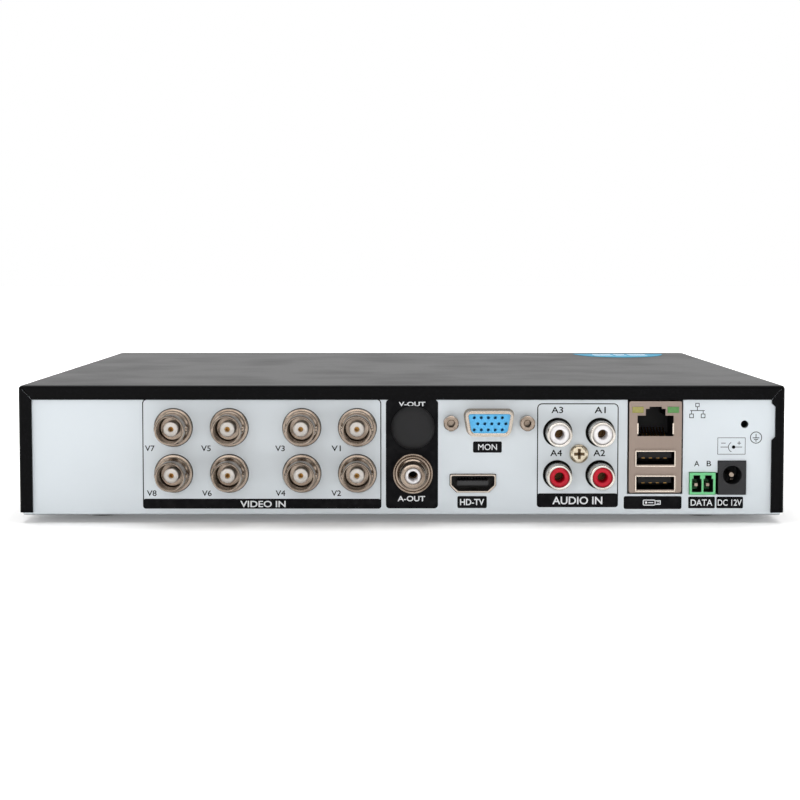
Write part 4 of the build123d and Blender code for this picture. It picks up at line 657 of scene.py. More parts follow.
def keep_rim(shape: Shape, line: float) -> None:
    """Leaves only a rim of this width of a flat shape, or all of it when the width is 0."""
    if line > 0.0:
        inside = shape.faces[:]
        bmesh.ops.inset_region(shape, faces=inside, thickness=line, use_boundary=True,
                               use_even_offset=True)
        bmesh.ops.delete(shape, geom=inside, context="FACES")


def thickened(shape: Shape, low: float, high: float) -> Shape:
    """A flat shape in the drawing's plane, made solid between two heights out of the plane."""
    bmesh.ops.translate(shape, verts=shape.verts[:], vec=(0.0, 0.0, low))
    made = bmesh.ops.extrude_face_region(shape, geom=shape.faces[:])
    raised = [item for item in made["geom"] if isinstance(item, bmesh.types.BMVert)]
    bmesh.ops.translate(shape, verts=raised, vec=(0.0, 0.0, high - low))
    bmesh.ops.recalc_face_normals(shape, faces=shape.faces[:])
    return shape


def disc(radius: float, low: float, high: float, line: float = 0.0, steps: int = 40) -> Shape:
    """A round plate, or only its rim when line is the rim's width."""
    shape = bmesh.new()
    bmesh.ops.create_circle(shape, cap_ends=True, segments=steps, radius=radius)
    keep_rim(shape, line)
    return thickened(shape, low, high)


def outline(points: Sequence[Point], corner: float) -> Shape:
    """A flat shape from a few corner points in order, with its corners rounded."""
    shape = bmesh.new()
    ring = [shape.verts.new((x, y, 0.0)) for x, y in points]
    shape.faces.new(ring)
    round_corners(shape, corner)
    bmesh.ops.recalc_face_normals(shape, faces=shape.faces[:])
    return shape


def profiled(shape: Shape, low: float, steps: Sequence[tuple[float, float]]) -> Shape:
    """A moulding that runs round a flat shape and follows a section.

    Args:
        shape: the flat shape, which is its outer edge.
        low: where it starts, out of the drawing.
        steps: each corner of the section, as the way inwards and the way up from the last one.

    Returns:
        The moulding, closed behind and closed by a floor at the last height.
    """
    if shape.faces[:][0].normal.z < 0.0:
        bmesh.ops.reverse_faces(shape, faces=shape.faces[:])
    bmesh.ops.translate(shape, verts=shape.verts[:], vec=(0.0, 0.0, low))
    top = shape.faces[:]
    back = bmesh.ops.duplicate(shape, geom=top)
    behind = [item for item in back["geom"] if isinstance(item, bmesh.types.BMFace)]
    bmesh.ops.reverse_faces(shape, faces=behind)
    for inward, upward in steps:
        bmesh.ops.inset_region(shape, faces=top, thickness=inward, depth=upward, use_boundary=True,
                               use_even_offset=True)
    bmesh.ops.remove_doubles(shape, verts=shape.verts[:], dist=1e-5)
    return shape


def words(text: str, height: float, width: float, low: float, high: float, weight: float = 0.0) -> Shape:
    """Capital letters as a solid.

    Args:
        text: the letters.
        height: the height of a capital.
        width: the width of the whole text.
        low: where the letters start, out of the drawing.
        high: where they end.
        weight: how far each outline grows, as a share of the letter size.

    Returns:
        The letters, centred on the drawing's middle.
    """
    curve = bpy.data.curves.new("letters", "FONT")
    curve.body = text
    curve.bevel_depth = weight
    curve.extrude = 0.05
    curve.resolution_u = 4
    item = bpy.data.objects.new("letters", curve)
    mesh = bpy.data.meshes.new_from_object(item)
    shape = bmesh.new()
    shape.from_mesh(mesh)
    bpy.data.objects.remove(item)
    bpy.data.curves.remove(curve)
    bpy.data.meshes.remove(mesh)
    bmesh.ops.remove_doubles(shape, verts=shape.verts[:], dist=1e-5)
    spans = [(min(v.co[i] for v in shape.verts), max(v.co[i] for v in shape.verts)) for i in range(3)]
    middle = Vector([(a + b) / 2 for a, b in spans])
    size = [b - a for a, b in spans]
    bmesh.ops.translate(shape, verts=shape.verts[:], vec=-middle)
    fit = (width / size[0], height / size[1], (high - low) / size[2])
    bmesh.ops.scale(shape, verts=shape.verts[:], vec=fit)
    bmesh.ops.translate(shape, verts=shape.verts[:], vec=(0.0, 0.0, (low + high) / 2))
    return shape


def bar(start: Point, end: Point, width: float, low: float, high: float) -> Shape:
    """A straight line between two points of a drawing, as a thin solid."""
    a, b = Vector(start), Vector(end)
    run = b - a
    shape = rounded_plate(run.length, width, 0.0, low, high)
    turn = Matrix.Rotation(math.atan2(run.y, run.x), 4, "Z")
    place = Matrix.Translation(Vector(((a.x + b.x) / 2, (a.y + b.y) / 2, 0.0)))
    bmesh.ops.transform(shape, matrix=place @ turn, verts=shape.verts[:])
    return shape


def arc(middle: Point, radius: float, start: float, end: float, width: float, low: float,
        high: float) -> Shape:
    """A line bent round a middle between two headings in degrees, as a thin solid."""
    shape = bmesh.new()
    first = Vector((radius - width / 2, 0.0, 0.0))
    pair = [shape.verts.new(first), shape.verts.new(first + Vector((width, 0.0, 0.0)))]
    edge = shape.edges.new(pair)
    bmesh.ops.rotate(shape, verts=pair, cent=(0, 0, 0), matrix=Matrix.Rotation(math.radians(start), 3, "Z"))
    bmesh.ops.spin(shape, geom=[*pair, edge], cent=(0, 0, 0), axis=(0, 0, 1),
                   angle=math.radians(end - start), steps=24, use_merge=False, use_duplicate=False)
    bmesh.ops.translate(shape, verts=shape.verts[:], vec=(middle[0], middle[1], 0.0))
    return thickened(shape, low, high)


def turned(profile: Sequence[Point], steps: int = 64) -> Shape:
    """A solid of revolution about the drawing's z.

    Args:
        profile: (radius, height) points in order round the section; a radius of 0 is on the axis.
        steps: how many flats go round.

    Returns:
        The turned solid.
    """
    shape = bmesh.new()
    ring = [shape.verts.new((radius, 0.0, height)) for radius, height in profile]
    on_axis = profile[0][0] == 0.0 and profile[-1][0] == 0.0
    pairs = list(zip(ring, ring[1:])) + ([] if on_axis else [(ring[-1], ring[0])])
    edges = [shape.edges.new(pair) for pair in pairs]
    bmesh.ops.spin(shape, geom=[*ring, *edges], cent=(0, 0, 0), axis=(0, 0, 1), angle=math.tau,
                   steps=steps, use_merge=True, use_duplicate=False)
    bmesh.ops.remove_doubles(shape, verts=shape.verts[:], dist=1e-4)
    bmesh.ops.recalc_face_normals(shape, faces=shape.faces[:])
    return shape


def shifted(across: float, up: float) -> Matrix:
    """A move within a drawing."""
    return Matrix.Translation(Vector((across, up, 0.0)))


def merged(parts: Iterable[Part]) -> Shape:
    """Several shapes, each moved to its own place, as one; the shapes are used up."""
    whole = bmesh.new()
    for shape, place in parts:
        bmesh.ops.transform(shape, matrix=place, verts=shape.verts[:])
        mesh = bpy.data.meshes.new("part")
        shape.to_mesh(mesh)
        shape.free()
        whole.from_mesh(mesh)
        bpy.data.meshes.remove(mesh)
    return whole


@dataclass(frozen=True)
class Pen:
    """Draws the parts of a sign with one line width, as thin solids between two heights."""

    low: float
    high: float
    line: float

    def box(self, width: float, height: float, at: Point = (0.0, 0.0), corner: float = 0.0) -> Part:
        """The outline of a box."""
        return rounded_plate(width, height, corner, self.low, self.high, self.line), shifted(*at)

    def patch(self, width: float, height: float, at: Point) -> Part:
        """A filled box."""
        return rounded_plate(width, height, 0.0, self.low, self.high), shifted(*at)

    def stroke(self, start: Point, end: Point) -> Part:
        """A straight line."""
        return bar(start, end, self.line, self.low, self.high), Matrix()

    def bend(self, middle: Point, radius: float, start: float, end: float) -> Part:
        """A line bent round a middle between two headings in degrees."""
        return arc(middle, radius, start, end, self.line, self.low, self.high), Matrix()

    def ring(self, radius: float) -> Part:
        """A circle."""
        return disc(radius, self.low, self.high, self.line), Matrix()

    def dot(self, radius: float, at: Point, steps: int) -> Part:
        """A filled circle."""
        return disc(radius, self.low, self.high, steps=steps), shifted(*at)


# ---------------------------------------------------------------- workshop
@dataclass
class Workshop:
    """Makes finished pieces, dresses the frame's nodes and builds each finish only once."""

    frame: Frame
    made: dict[str, bpy.types.Material] = field(default_factory=dict)

    def material(self, finish: Finish) -> bpy.types.Material:
        """The material of a finish, built the first time that it is asked for."""
        if finish.name not in self.made:
            self.made[finish.name] = finish.build()
        return self.made[finish.name]

    def dress(self, finish: Finish, *nodes: str) -> None:
        """Gives nodes of the frame a finish."""
        for node in nodes:
            item = bpy.data.objects[node]
            for holder in item.material_slots:
                holder.material = self.material(finish)
            LOG.info("%s: finished in %s", node, finish.name)

    def piece(self, name: str, shape: Shape, finish: Finish, slot: str, body: Body = Body.CASE,
              soft: float = 0.0, stands_for: Sequence[str] = ()) -> bpy.types.Object:
        """Makes one object at the origin and rides it on a body.

        Args:
            name: the piece's name.
            shape: its shape in metres, in place, which is used up.
            finish: its finish.
            slot: not used.
            body: the body that it moves with.
            soft: the width in millimetres of the rounding on its sharp edges, or 0 for none.
            stands_for: the nodes that it is shown in place of.

        Returns:
            The object.
        """
        mesh = bpy.data.meshes.new(name)
        shape.to_mesh(mesh)
        shape.free()
        mesh.polygons.foreach_set("use_smooth", [True] * len(mesh.polygons))
        mesh.set_sharp_from_angle(angle=math.radians(32.0))
        mesh.materials.append(self.material(finish))
        item = bpy.data.objects.new(name, mesh)
        bpy.context.scene.collection.objects.link(item)
        if soft > 0.0:
            rounding = item.modifiers.new("rounded_edges", "BEVEL")
            rounding.width = soft * MM
            rounding.segments = 2
            rounding.limit_method = "ANGLE"
            rounding.angle_limit = math.radians(32.0)
            rounding.harden_normals = True
        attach(item, body.value)
        if stands_for:
            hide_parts(*stands_for)
        LOG.info("%s: %d faces on %s", name, len(mesh.polygons), body.value)
        return item


@dataclass
class SubAssembly:
    """A group of pieces that are built and finished together."""

    shop: Workshop

    def build(self) -> None:
        """Builds and finishes every piece of the group."""
        raise NotImplementedError


# ---------------------------------------------------------------- the case
@dataclass
class SteelCase(SubAssembly):
    """The tray, the cover with its screws, the feet and the label on top."""

    def build(self) -> None:
        """Finishes the steel, the screws, the feet and the label."""
        frame = self.shop.frame
        self.shop.dress(POWDER, "top_cover")
        self.shop.dress(PanelPaint("panel_paint", wall=frame.wall), "chassis_tray")
        self.shop.dress(SCREW_BLACK, "cover_screws")
        self.shop.dress(RUBBER, "feet")
        low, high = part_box("top_label")
        film = LabelFilm("label_film", start=low.y, length=high.y - low.y, middle=(low.x + high.x) / 2)
        self.shop.dress(film, "top_label")


# ---------------------------------------------------------------- printing on the rear wall
@dataclass
class WallPrint(SubAssembly):
    """Everything printed on the rear wall: frames, bands, plates, letters and signs."""

    sunk: float = -0.04
    first: float = 0.025
    second: float = 0.05
    thin: float = 0.33

    def build(self) -> None:
        """Prints each group."""
        self.socket_group("video_in", (40.6, 119.3), (2.2, 38.6), 5.5, 1.6)
        self.socket_group("audio_in", (170.6, 197.4), (2.7, 37.1), 7.3, 1.6)
        self.plates()
        self.letters()
        self.network_sign()
        self.earth_sign()
        self.polarity_sign()
        self.stick_sign()

    def ink(self, name: str, shape: Shape, white: bool = False) -> None:
        """Makes one printed piece from a shape that is already in its place on the wall."""
        finish = WHITE_INK if white else BLACK_INK
        self.shop.piece("print_" + name, shape, finish, "insulator_white" if white else "connector_black")

    def socket_group(self, name: str, across: Point, up: Point, band_top: float, corner: float) -> None:
        """Prints a thin frame round a group of sockets, with a solid band along its foot.

        Args:
            name: the group's name.
            across: the frame's two sides.
            up: the frame's foot and top.
            band_top: the top of the band.
            corner: the corner radius.
        """
        width, height = across[1] - across[0], up[1] - up[0]
        middle = sum(across) / 2
        rim = rounded_plate(width, height, corner, self.sunk, self.first, self.thin)
        band = rounded_plate(width, band_top - up[0], corner * 0.6, self.sunk, self.first + 0.004)
        place = self.shop.frame.rear(middle, sum(up) / 2)
        foot = self.shop.frame.rear(middle, (up[0] + band_top) / 2)
        self.ink(name + "_frame", merged([(rim, place), (band, foot)]))

    def plates(self) -> None:
        """Prints the solid plates under the white letters."""
        rows = {
            "output_plate": ((120.8, 138.0), (2.3, 38.3), 1.2),
            "monitor_tag": ((149.5, 159.0), (20.8, 24.5), 0.5),
            "high_definition_tag": ((144.4, 154.1), (2.4, 6.4), 0.5),
            "serial_tag": ((199.3, 218.4), (2.1, 6.4), 0.6),
            "data_tag": ((220.6, 229.4), (2.35, 6.2), 0.4),
            "power_tag": ((229.9, 238.7), (2.35, 6.2), 0.4),
        }
        for name, (across, up, corner) in rows.items():
            plate = rounded_plate(across[1] - across[0], up[1] - up[0], corner, self.sunk, self.first)
            self.sign(name, sum(across) / 2, sum(up) / 2, [(plate, Matrix())])

    def letters(self) -> None:
        """Prints the letters: white on the plates and bands, black on the wall."""
        white = {
            "video_in": ("VIDEO IN", 80.2, 3.75, 2.15, 15.0, 0.018),
            "video_out": ("V-OUT", 129.4, 36.85, 1.5, 8.8, 0.022),
            "audio_out": ("A-OUT", 129.2, 5.55, 1.8, 9.1, 0.022),
            "monitor": ("MON", 154.3, 22.65, 2.0, 6.2, 0.006),
            "high_definition": ("HD-TV", 149.25, 4.4, 2.1, 8.0, 0.022),
            "audio_in": ("AUDIO IN", 184.0, 4.95, 2.6, 16.5, 0.018),
            "data": ("DATA", 225.0, 4.25, 2.1, 7.2, 0.012),
            "power": ("DC 12V", 234.3, 4.25, 2.1, 7.9, 0.012),
        }
        black = {
            "v7": ("V7", 43.0, 22.2, 1.9, 3.2, 0.012), "v8": ("V8", 43.5, 7.35, 1.9, 3.2, 0.012),
            "v5": ("V5", 61.5, 22.2, 1.9, 3.2, 0.012), "v6": ("V6", 61.7, 7.35, 1.9, 3.2, 0.012),
            "v3": ("V3", 85.9, 22.2, 1.9, 3.2, 0.012), "v4": ("V4", 86.0, 7.35, 1.9, 3.2, 0.012),
            "v1": ("V1", 104.4, 22.2, 1.9, 3.1, 0.012), "v2": ("V2", 104.4, 7.35, 1.9, 3.2, 0.012),
            "a3": ("A3", 177.2, 34.9, 2.1, 3.9, 0.012), "a1": ("A1", 191.3, 34.9, 2.1, 3.7, 0.012),
            "a4": ("A4", 176.9, 20.7, 2.1, 3.9, 0.012), "a2": ("A2", 191.1, 20.7, 2.1, 3.9, 0.012),
            "line_a": ("A", 223.3, 17.2, 1.8, 1.7, 0.008), "line_b": ("B", 227.3, 17.2, 1.8, 1.5, 0.008),
        }
        for rows, low, high, bright in ((white, self.first - 0.01, self.second, True),
                                        (black, self.sunk, self.first, False)):
            for name, (text, across, up, height, width, weight) in rows.items():
                shape = words(text, height, width, low, high, weight)
                self.sign("letters_" + name, across, up, [(shape, Matrix())], bright)

    def sign(self, name: str, across: float, up: float, parts: Iterable[Part], white: bool = False) -> None:
        """Prints one sign from its parts, with its middle at a place on the wall."""
        place = self.shop.frame.rear(across, up)
        self.ink(name, merged([(shape, place @ move) for shape, move in parts]), white)

    def network_sign(self) -> None:
        """Prints the network sign: one square joined to two below it."""
        pen = Pen(self.sunk, self.first, 0.22)
        self.sign("network_sign", 223.3, 34.65, [
            pen.box(1.35, 1.35, (0.0, 1.9)),
            pen.box(1.45, 1.45, (-1.9, -1.7)), pen.box(1.45, 1.45, (1.9, -1.7)),
            pen.stroke((-2.4, 0.05), (2.4, 0.05)), pen.stroke((0.0, 0.0), (0.0, 1.3)),
            pen.stroke((-1.9, 0.05), (-1.9, -1.0)), pen.stroke((1.9, 0.05), (1.9, -1.0))])

    def earth_sign(self) -> None:
        """Prints the earth sign in its circle."""
        pen = Pen(self.sunk, self.first, 0.24)
        rows = ((1.1, -0.1), (0.68, -0.62), (0.3, -1.12))
        bars = [pen.stroke((-half, up), (half, up)) for half, up in rows]
        self.sign("earth_sign", 242.7, 25.8, [pen.ring(1.98), pen.stroke((0.0, 1.2), (0.0, -0.1)), *bars])

    def polarity_sign(self) -> None:
        """Prints the box that shows the poles of the power inlet."""
        pen, fine = Pen(self.sunk, self.first, 0.2), Pen(self.sunk, self.first, 0.16)
        self.sign("polarity_sign", 234.65, 23.0, [
            fine.box(9.2, 5.6),
            pen.stroke((-3.6, -0.35), (-1.1, -0.35)), pen.stroke((0.7, -0.35), (3.5, -0.35)),
            pen.stroke((-3.4, 0.95), (-1.9, 0.95)), pen.stroke((1.9, 0.95), (3.1, 0.95)),
            pen.stroke((2.5, 0.35), (2.5, 1.55)), pen.bend((0.7, -0.35), 1.7, 118.0, 246.0),
            pen.dot(0.58, (0.7, -0.35), 24)])

    def stick_sign(self) -> None:
        """Prints a plain sign of a memory stick on the tag under the serial ports."""
        pen = Pen(self.first - 0.01, self.second, 0.32)
        self.sign("stick_sign", 208.8, 4.25, [
            pen.box(4.2, 2.0, (-1.1, 0.0), 0.5), pen.box(1.9, 1.5, (1.75, 0.0)),
            pen.patch(0.36, 0.36, (1.85, 0.32)), pen.patch(0.36, 0.36, (1.85, -0.32)),
            pen.dot(0.4, (-2.1, 0.0), 20), pen.stroke((-1.4, 0.0), (0.3, 0.0))], white=True)


# ---------------------------------------------------------------- sockets
def node_middle(node: str) -> Vector:
    """The middle of a node's box."""
    low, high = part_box(node)
    return (low + high) / 2


@dataclass
class VideoInputs(SubAssembly):
    """Eight bayonet sockets for video: plated barrels, white insulators and gold contacts."""

    columns: tuple[float, ...] = (50.8, 69.2, 93.1, 111.4)
    rows: tuple[float, ...] = (29.1, 13.9)
    collar: float = 6.25
    step: float = 5.45
    barrel: float = 4.8
    bore: float = 4.1
    insulator: float = 2.45
    pin_hole: float = 0.8
    reach: float = 12.0

    def build(self) -> None:
        """Turns and finishes the sockets."""
        self.barrels()
        self.insulators()
        self.contacts()
        self.shop.dress(SOCKET_BLACK, "video_in_bodies")

    def places(self) -> list[Matrix]:
        """Where the eight sockets are."""
        return [self.shop.frame.rear(u, v) for u in self.columns for v in self.rows]

    def barrels(self) -> None:
        """Turns the barrels with their collar, grooves, rounded rim and two bayonet lugs."""
        end, bore = self.reach, self.bore
        profile = [(self.insulator + 0.05, -1.0), (self.insulator + 0.05, 2.0), (bore - 0.35, 2.0),
                   (bore - 0.35, 2.6), (bore, 2.9), (bore, end - 0.35), (bore + 0.22, end - 0.06),
                   (bore + 0.35, end), (self.barrel - 0.28, end), (self.barrel - 0.08, end - 0.12),
                   (self.barrel, end - 0.38), (self.barrel, 3.5), (self.step - 0.12, 3.15),
                   (self.step, 2.95), (self.step, 2.25), (self.step - 0.18, 2.15), (self.step - 0.18, 1.75),
                   (self.step, 1.65), (self.step, 1.2), (self.collar - 0.35, 1.2), (self.collar - 0.1, 1.12),
                   (self.collar, 0.9), (self.collar, -3.0), (self.insulator + 0.05, -3.0)]
        parts = []
        for place in self.places():
            parts.append((turned(profile), place))
            for side in (-1, 1):
                parts.append((self.lug(), place @ Matrix.Translation((side * 4.4, 0.0, end - 5.0))
                              @ Matrix.Rotation(side * math.pi / 2, 4, "Y")))
        self.shop.piece("video_barrels", merged(parts), NICKEL, "nickel", stands_for=["video_in_barrels"])

    def lug(self) -> Shape:
        """Turns one bayonet lug with a rounded end, standing on the drawing."""
        profile = [(0.0, 0.0), (0.95, 0.0), (0.95, 0.85), (0.82, 1.02), (0.6, 1.1), (0.0, 1.1)]
        return turned(profile, steps=24)

    def insulators(self) -> None:
        """Turns the white insulators with a rounded nose and a shallow cup round the contact."""
        hole, radius = self.pin_hole + 0.05, self.insulator
        profile = [(0.0, -1.0), (radius, -1.0), (radius, 7.1), (radius - 0.12, 7.38), (radius - 0.35, 7.5),
                   (hole + 0.35, 7.5), (hole + 0.08, 7.38), (hole, 7.1), (hole, 0.5), (0.0, 0.5)]
        parts = [(turned(profile, 48), place) for place in self.places()]
        self.shop.piece("video_insulators", merged(parts), INSULATOR, "insulator_white",
                        stands_for=["video_in_insulators"])

    def contacts(self) -> None:
        """Turns the gold sleeves that take a plug's pin, each with a deep hole."""
        radius = self.pin_hole
        profile = [(0.0, 0.5), (radius, 0.5), (radius, 6.5), (radius - 0.1, 6.7), (radius - 0.2, 6.7),
                   (radius - 0.26, 6.4), (radius - 0.26, 1.5), (0.0, 1.5)]
        parts = [(turned(profile, 24), place) for place in self.places()]
        self.shop.piece("video_contacts", merged(parts), GOLD, "contact_gold",
                        stands_for=["video_in_contacts"])


@dataclass
class PhonoSocket:
    """The shapes of one phono socket, in millimetres about its own axis."""

    ring: float = 4.15
    bore: float = 3.2
    hole: float = 1.6
    reach: float = 9.0

    def barrel(self) -> Shape:
        """Turns the plated ring with its rounded rim and a shallow groove behind it."""
        ring, bore, end = self.ring, self.bore, self.reach
        profile = [(bore, -4.0), (bore, end - 0.25), (bore + 0.12, end - 0.05), (bore + 0.25, end),
                   (ring - 0.32, end), (ring - 0.1, end - 0.1), (ring, end - 0.34), (ring, end - 1.7),
                   (ring - 0.12, end - 1.8), (ring - 0.12, end - 2.1), (ring, end - 2.2), (ring, -4.0)]
        return turned(profile)

    def insert(self, radius: float, end: float) -> Shape:
        """Turns an insulator with a rounded nose and a countersunk hole.

        Args:
            radius: its outer radius.
            end: how far it comes out of the wall.

        Returns:
            The insulator.
        """
        hole = self.hole
        profile = [(0.0, -4.0), (radius, -4.0), (radius, end - 0.3), (radius - 0.1, end - 0.09),
                   (radius - 0.28, end), (hole + 0.55, end), (hole + 0.18, end - 0.12), (hole, end - 0.45),
                   (hole, -1.0), (0.0, -1.0)]
        return turned(profile, 48)


@dataclass
class AudioInputs(SubAssembly):
    """Four phono inputs round one screw, on a black block."""

    middle: Point = (184.4, 20.5)
    pitch: float = 14.0
    phono: PhonoSocket = field(default_factory=PhonoSocket)

    def build(self) -> None:
        """Turns and finishes the inputs."""
        rings, inserts = [], {1: [], -1: []}
        for side in (-1, 1):
            for level in (-1, 1):
                place = self.shop.frame.rear(self.middle[0] + side * self.pitch / 2,
                                             self.middle[1] + level * self.pitch / 2)
                rings.append((self.phono.barrel(), place))
                insert = self.phono.insert(self.phono.bore - 0.05, self.phono.reach - 0.5)
                inserts[level].append((insert, place))
        self.shop.piece("audio_rings", merged(rings), RING_PLATE, "nickel", stands_for=["audio_in_barrels"])
        self.shop.piece("audio_red_inserts", merged(inserts[-1]), PHONO_RED, "insulator_red",
                        stands_for=["phono_red_inserts"])
        output = OutputColumn(self.shop)
        white = [*inserts[1], (output.insulator(), output.place(1))]
        self.shop.piece("phono_white", merged(white), PHONO_WHITE, "insulator_white",
                        stands_for=["phono_white_inserts"])
        self.shop.dress(SCREW_ZINC, "audio_in_screw")
        self.shop.dress(SOCKET_BLACK, "audio_in_body")
        # The phono contacts are darkened as painted shade inside the holes.
        self.shop.dress(PIN_SHADE, "phono_contacts")
        # A dark cross sunk into the screw head's cross recess: painted shade where the recess lies.
        cross = [(rounded_plate(*size, 0.1, 0.8, 0.95), self.shop.frame.rear(*self.middle))
                 for size in ((3.3, 0.92), (0.92, 3.3))]
        self.shop.piece("audio_screw_shade_cross", merged(cross), RECESS_SHADE, "screw_zinc")


@dataclass
class OutputColumn(SubAssembly):
    """The blanked video output above the audio output."""

    column: float = 129.7
    rows: tuple[float, float] = (29.1, 13.9)
    cap: float = 7.2
    cap_head: float = 1.8

    def build(self) -> None:
        """Turns and finishes the cap and the audio output."""
        self.shop.piece("blank_cap", merged([(self.cap_shape(), self.place(0))]), CAP_GREY, "cap_black",
                        Body.CAP, stands_for=["video_out_cap"])
        self.shop.piece("audio_out_socket", merged([(self.barrel(), self.place(1))]), NICKEL, "nickel",
                        stands_for=["audio_out_barrel"])
        self.shop.dress(SOCKET_BLACK, "output_stack_body")

    def place(self, row: int) -> Matrix:
        """Where the upper or the lower socket is."""
        return self.shop.frame.rear(self.column, self.rows[row])

    def cap_shape(self) -> Shape:
        """Turns the cap: a low dome with a soft rim on a hollow stem."""
        top, rim, stem = self.cap_head + 0.05, self.cap, 6.1
        tip = -0.8 - 4.5
        profile = [(0.0, top), (3.0, top - 0.02), (5.0, top - 0.1), (rim - 1.2, top - 0.32),
                   (rim - 0.45, top - 0.68), (rim - 0.12, top - 1.05), (rim, top - 1.4), (rim, 0.05),
                   (stem, 0.05), (stem, tip + 0.6), (stem - 0.6, tip), (stem - 1.2, tip),
                   (stem - 1.2, 0.35), (0.0, 0.35)]
        return turned(profile, 72)

    def barrel(self) -> Shape:
        """Turns the audio output: base ring with a raised rim, dished shoulder and barrel."""
        end = 9.0
        profile = [(2.65, -4.0), (2.65, end - 0.2), (2.85, end), (3.75, end), (3.98, end - 0.1),
                   (4.10, end - 0.34), (4.10, 4.4), (4.45, 3.7), (4.95, 3.2), (4.95, 1.5), (5.2, 1.15),
                   (5.65, 1.12), (5.85, 1.4), (6.05, 1.5), (6.42, 1.5), (6.6, 1.32), (6.6, 1.0),
                   (6.25, 1.0), (6.25, -4.0)]
        return turned(profile, 72)

    def insulator(self) -> Shape:
        """Turns the white insulator of the audio output."""
        return PhonoSocket().insert(2.6, 9.0 - 0.6)


@dataclass
class PictureOutputs(SubAssembly):
    """The monitor port with its two jackscrews, and the high-definition port below it."""

    port: Point = (154.7, 30.75)
    size: Point = (16.35, 8.3)
    lean: float = 1.46
    reach: float = 5.4
    screw_spacing: float = 25.0
    ridges: int = 7
    thread_pitch: float = 0.5

    def build(self) -> None:
        """Finishes both ports and adds a rolled rim and the jackscrews' threads."""
        self.shop.dress(BRIGHT_SHEET, "monitor_port_shell", "hd_port_shell")
        self.shop.dress(PORT_BLUE, "monitor_port_insert")
        self.shop.dress(SOCKET_BLACK, "monitor_stack_body")
        self.shop.dress(TONGUE_GREY, "hd_port_tongue")
        self.shop.dress(NICKEL, "jackscrews")
        self.rim()
        self.threads()

    def outline(self, grow: float) -> Shape:
        """The port's flat outline with its wide side up, grown by this much."""
        across, up = self.size[0] / 2 + grow, self.size[1] / 2 + grow
        points = [(-across, up), (across, up), (across - self.lean, -up), (self.lean - across, -up)]
        return outline(points, 2.0 + grow)

    def rim(self) -> None:
        """Rolls the flare at the shell's root and the thick rounded rim at its end."""
        end = self.reach
        flare = [(0.06, 0.12), (0.16, 0.14), (0.16, 0.30), (0.10, 0.62), (0.05, 1.6)]
        flat = self.outline(0.5)
        root = profiled(flat, -0.05, flare)
        lip = self.outline(0.03)
        steps = [(0.0, 1.9), (0.05, 0.16), (0.14, 0.12), (0.36, 0.05), (0.36, -0.05), (0.14, -0.14),
                 (0.06, -0.3), (0.02, -0.34)]
        top = profiled(lip, end - 2.2, steps)
        self.open_floor(top)
        place = self.shop.frame.rear(*self.port)
        self.open_floor(root)
        self.shop.piece("monitor_port_rim", merged([(root, place), (top, place)]), BRIGHT_SHEET, "nickel")

    @staticmethod
    def open_floor(shape: Shape) -> None:
        """Takes away the two large faces that close a moulding, so that it runs round the port only."""
        large = sorted(shape.faces, key=lambda face: face.calc_area())[-2:]
        bmesh.ops.delete(shape, geom=large, context="FACES")

    def threads(self) -> None:
        """Cuts the look of a thread into each jackscrew with a stack of small ridges."""
        turns = []
        for side in (-1, 1):
            place = self.shop.frame.rear(self.port[0] + side * self.screw_spacing / 2, self.port[1])
            for index in range(self.ridges):
                height = 4.6 - index * self.thread_pitch
                ridge = turned([(1.36, height - 0.22), (1.12, height), (1.36, height + 0.22)], 32)
                turns.append((ridge, place))
        self.shop.piece("jackscrew_threads", merged(turns), NICKEL, "nickel")


@dataclass
class NetworkBlock(SubAssembly):
    """The plated block with the network port, its two lamps and two serial ports."""

    jack: Point = (11.9, 6.8)
    jack_up: float = 7.0
    slot: Point = (12.5, 4.6)
    slots_up: tuple[float, float] = (-3.5, -11.75)
    reach: float = 0.6
    lip: float = 0.34
    lip_height: float = 0.58
    gap: float = 0.02
    tab: Point = (0.42, 0.52)

    def build(self) -> None:
        """Finishes the block and adds the folded edges of its openings, brighter than the block as painted
        highlights.
        """
        self.shop.dress(PORT_SHEET, "network_port_shell")
        self.shop.dress(SOCKET_BLACK, "network_port_insert")
        self.shop.dress(GOLD, "network_port_contacts")
        self.shop.dress(LAMP_YELLOW, "link_lamp_yellow")
        self.shop.dress(LAMP_GREEN, "link_lamp_green")
        self.edges()

    def edges(self) -> None:
        """Makes a thin edge round each slot, and a tab at each side of the network opening, in a brighter
        copy of the port sheet: painted highlights on the folds.
        """
        low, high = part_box("network_port_shell")
        middle = (self.shop.frame.left - (low.x + high.x) / 2) / MM
        up = ((low.z + high.z) / 2 - self.shop.frame.under) / MM
        parts = []
        for level in self.slots_up:
            width, height = (side + self.gap + 2 * self.lip + self.gap for side in self.slot)
            rim = rounded_plate(width, height, 0.3, self.reach, self.reach + self.lip_height, self.lip)
            parts.append((rim, self.shop.frame.rear(middle, up + level)))
        for side in (-1, 1):
            across = side * (self.jack[0] / 2 - 0.12)
            width, share = self.tab
            tab = rounded_plate(width, self.jack[1] * share, 0.08, self.reach - 0.5, self.reach + 0.12)
            parts.append((tab, self.shop.frame.rear(middle + across, up + self.jack_up - 0.6)))
        self.shop.piece("network_port_highlight_edges", merged(parts), EDGE_HIGHLIGHT_SHEET, "nickel", soft=0.06)


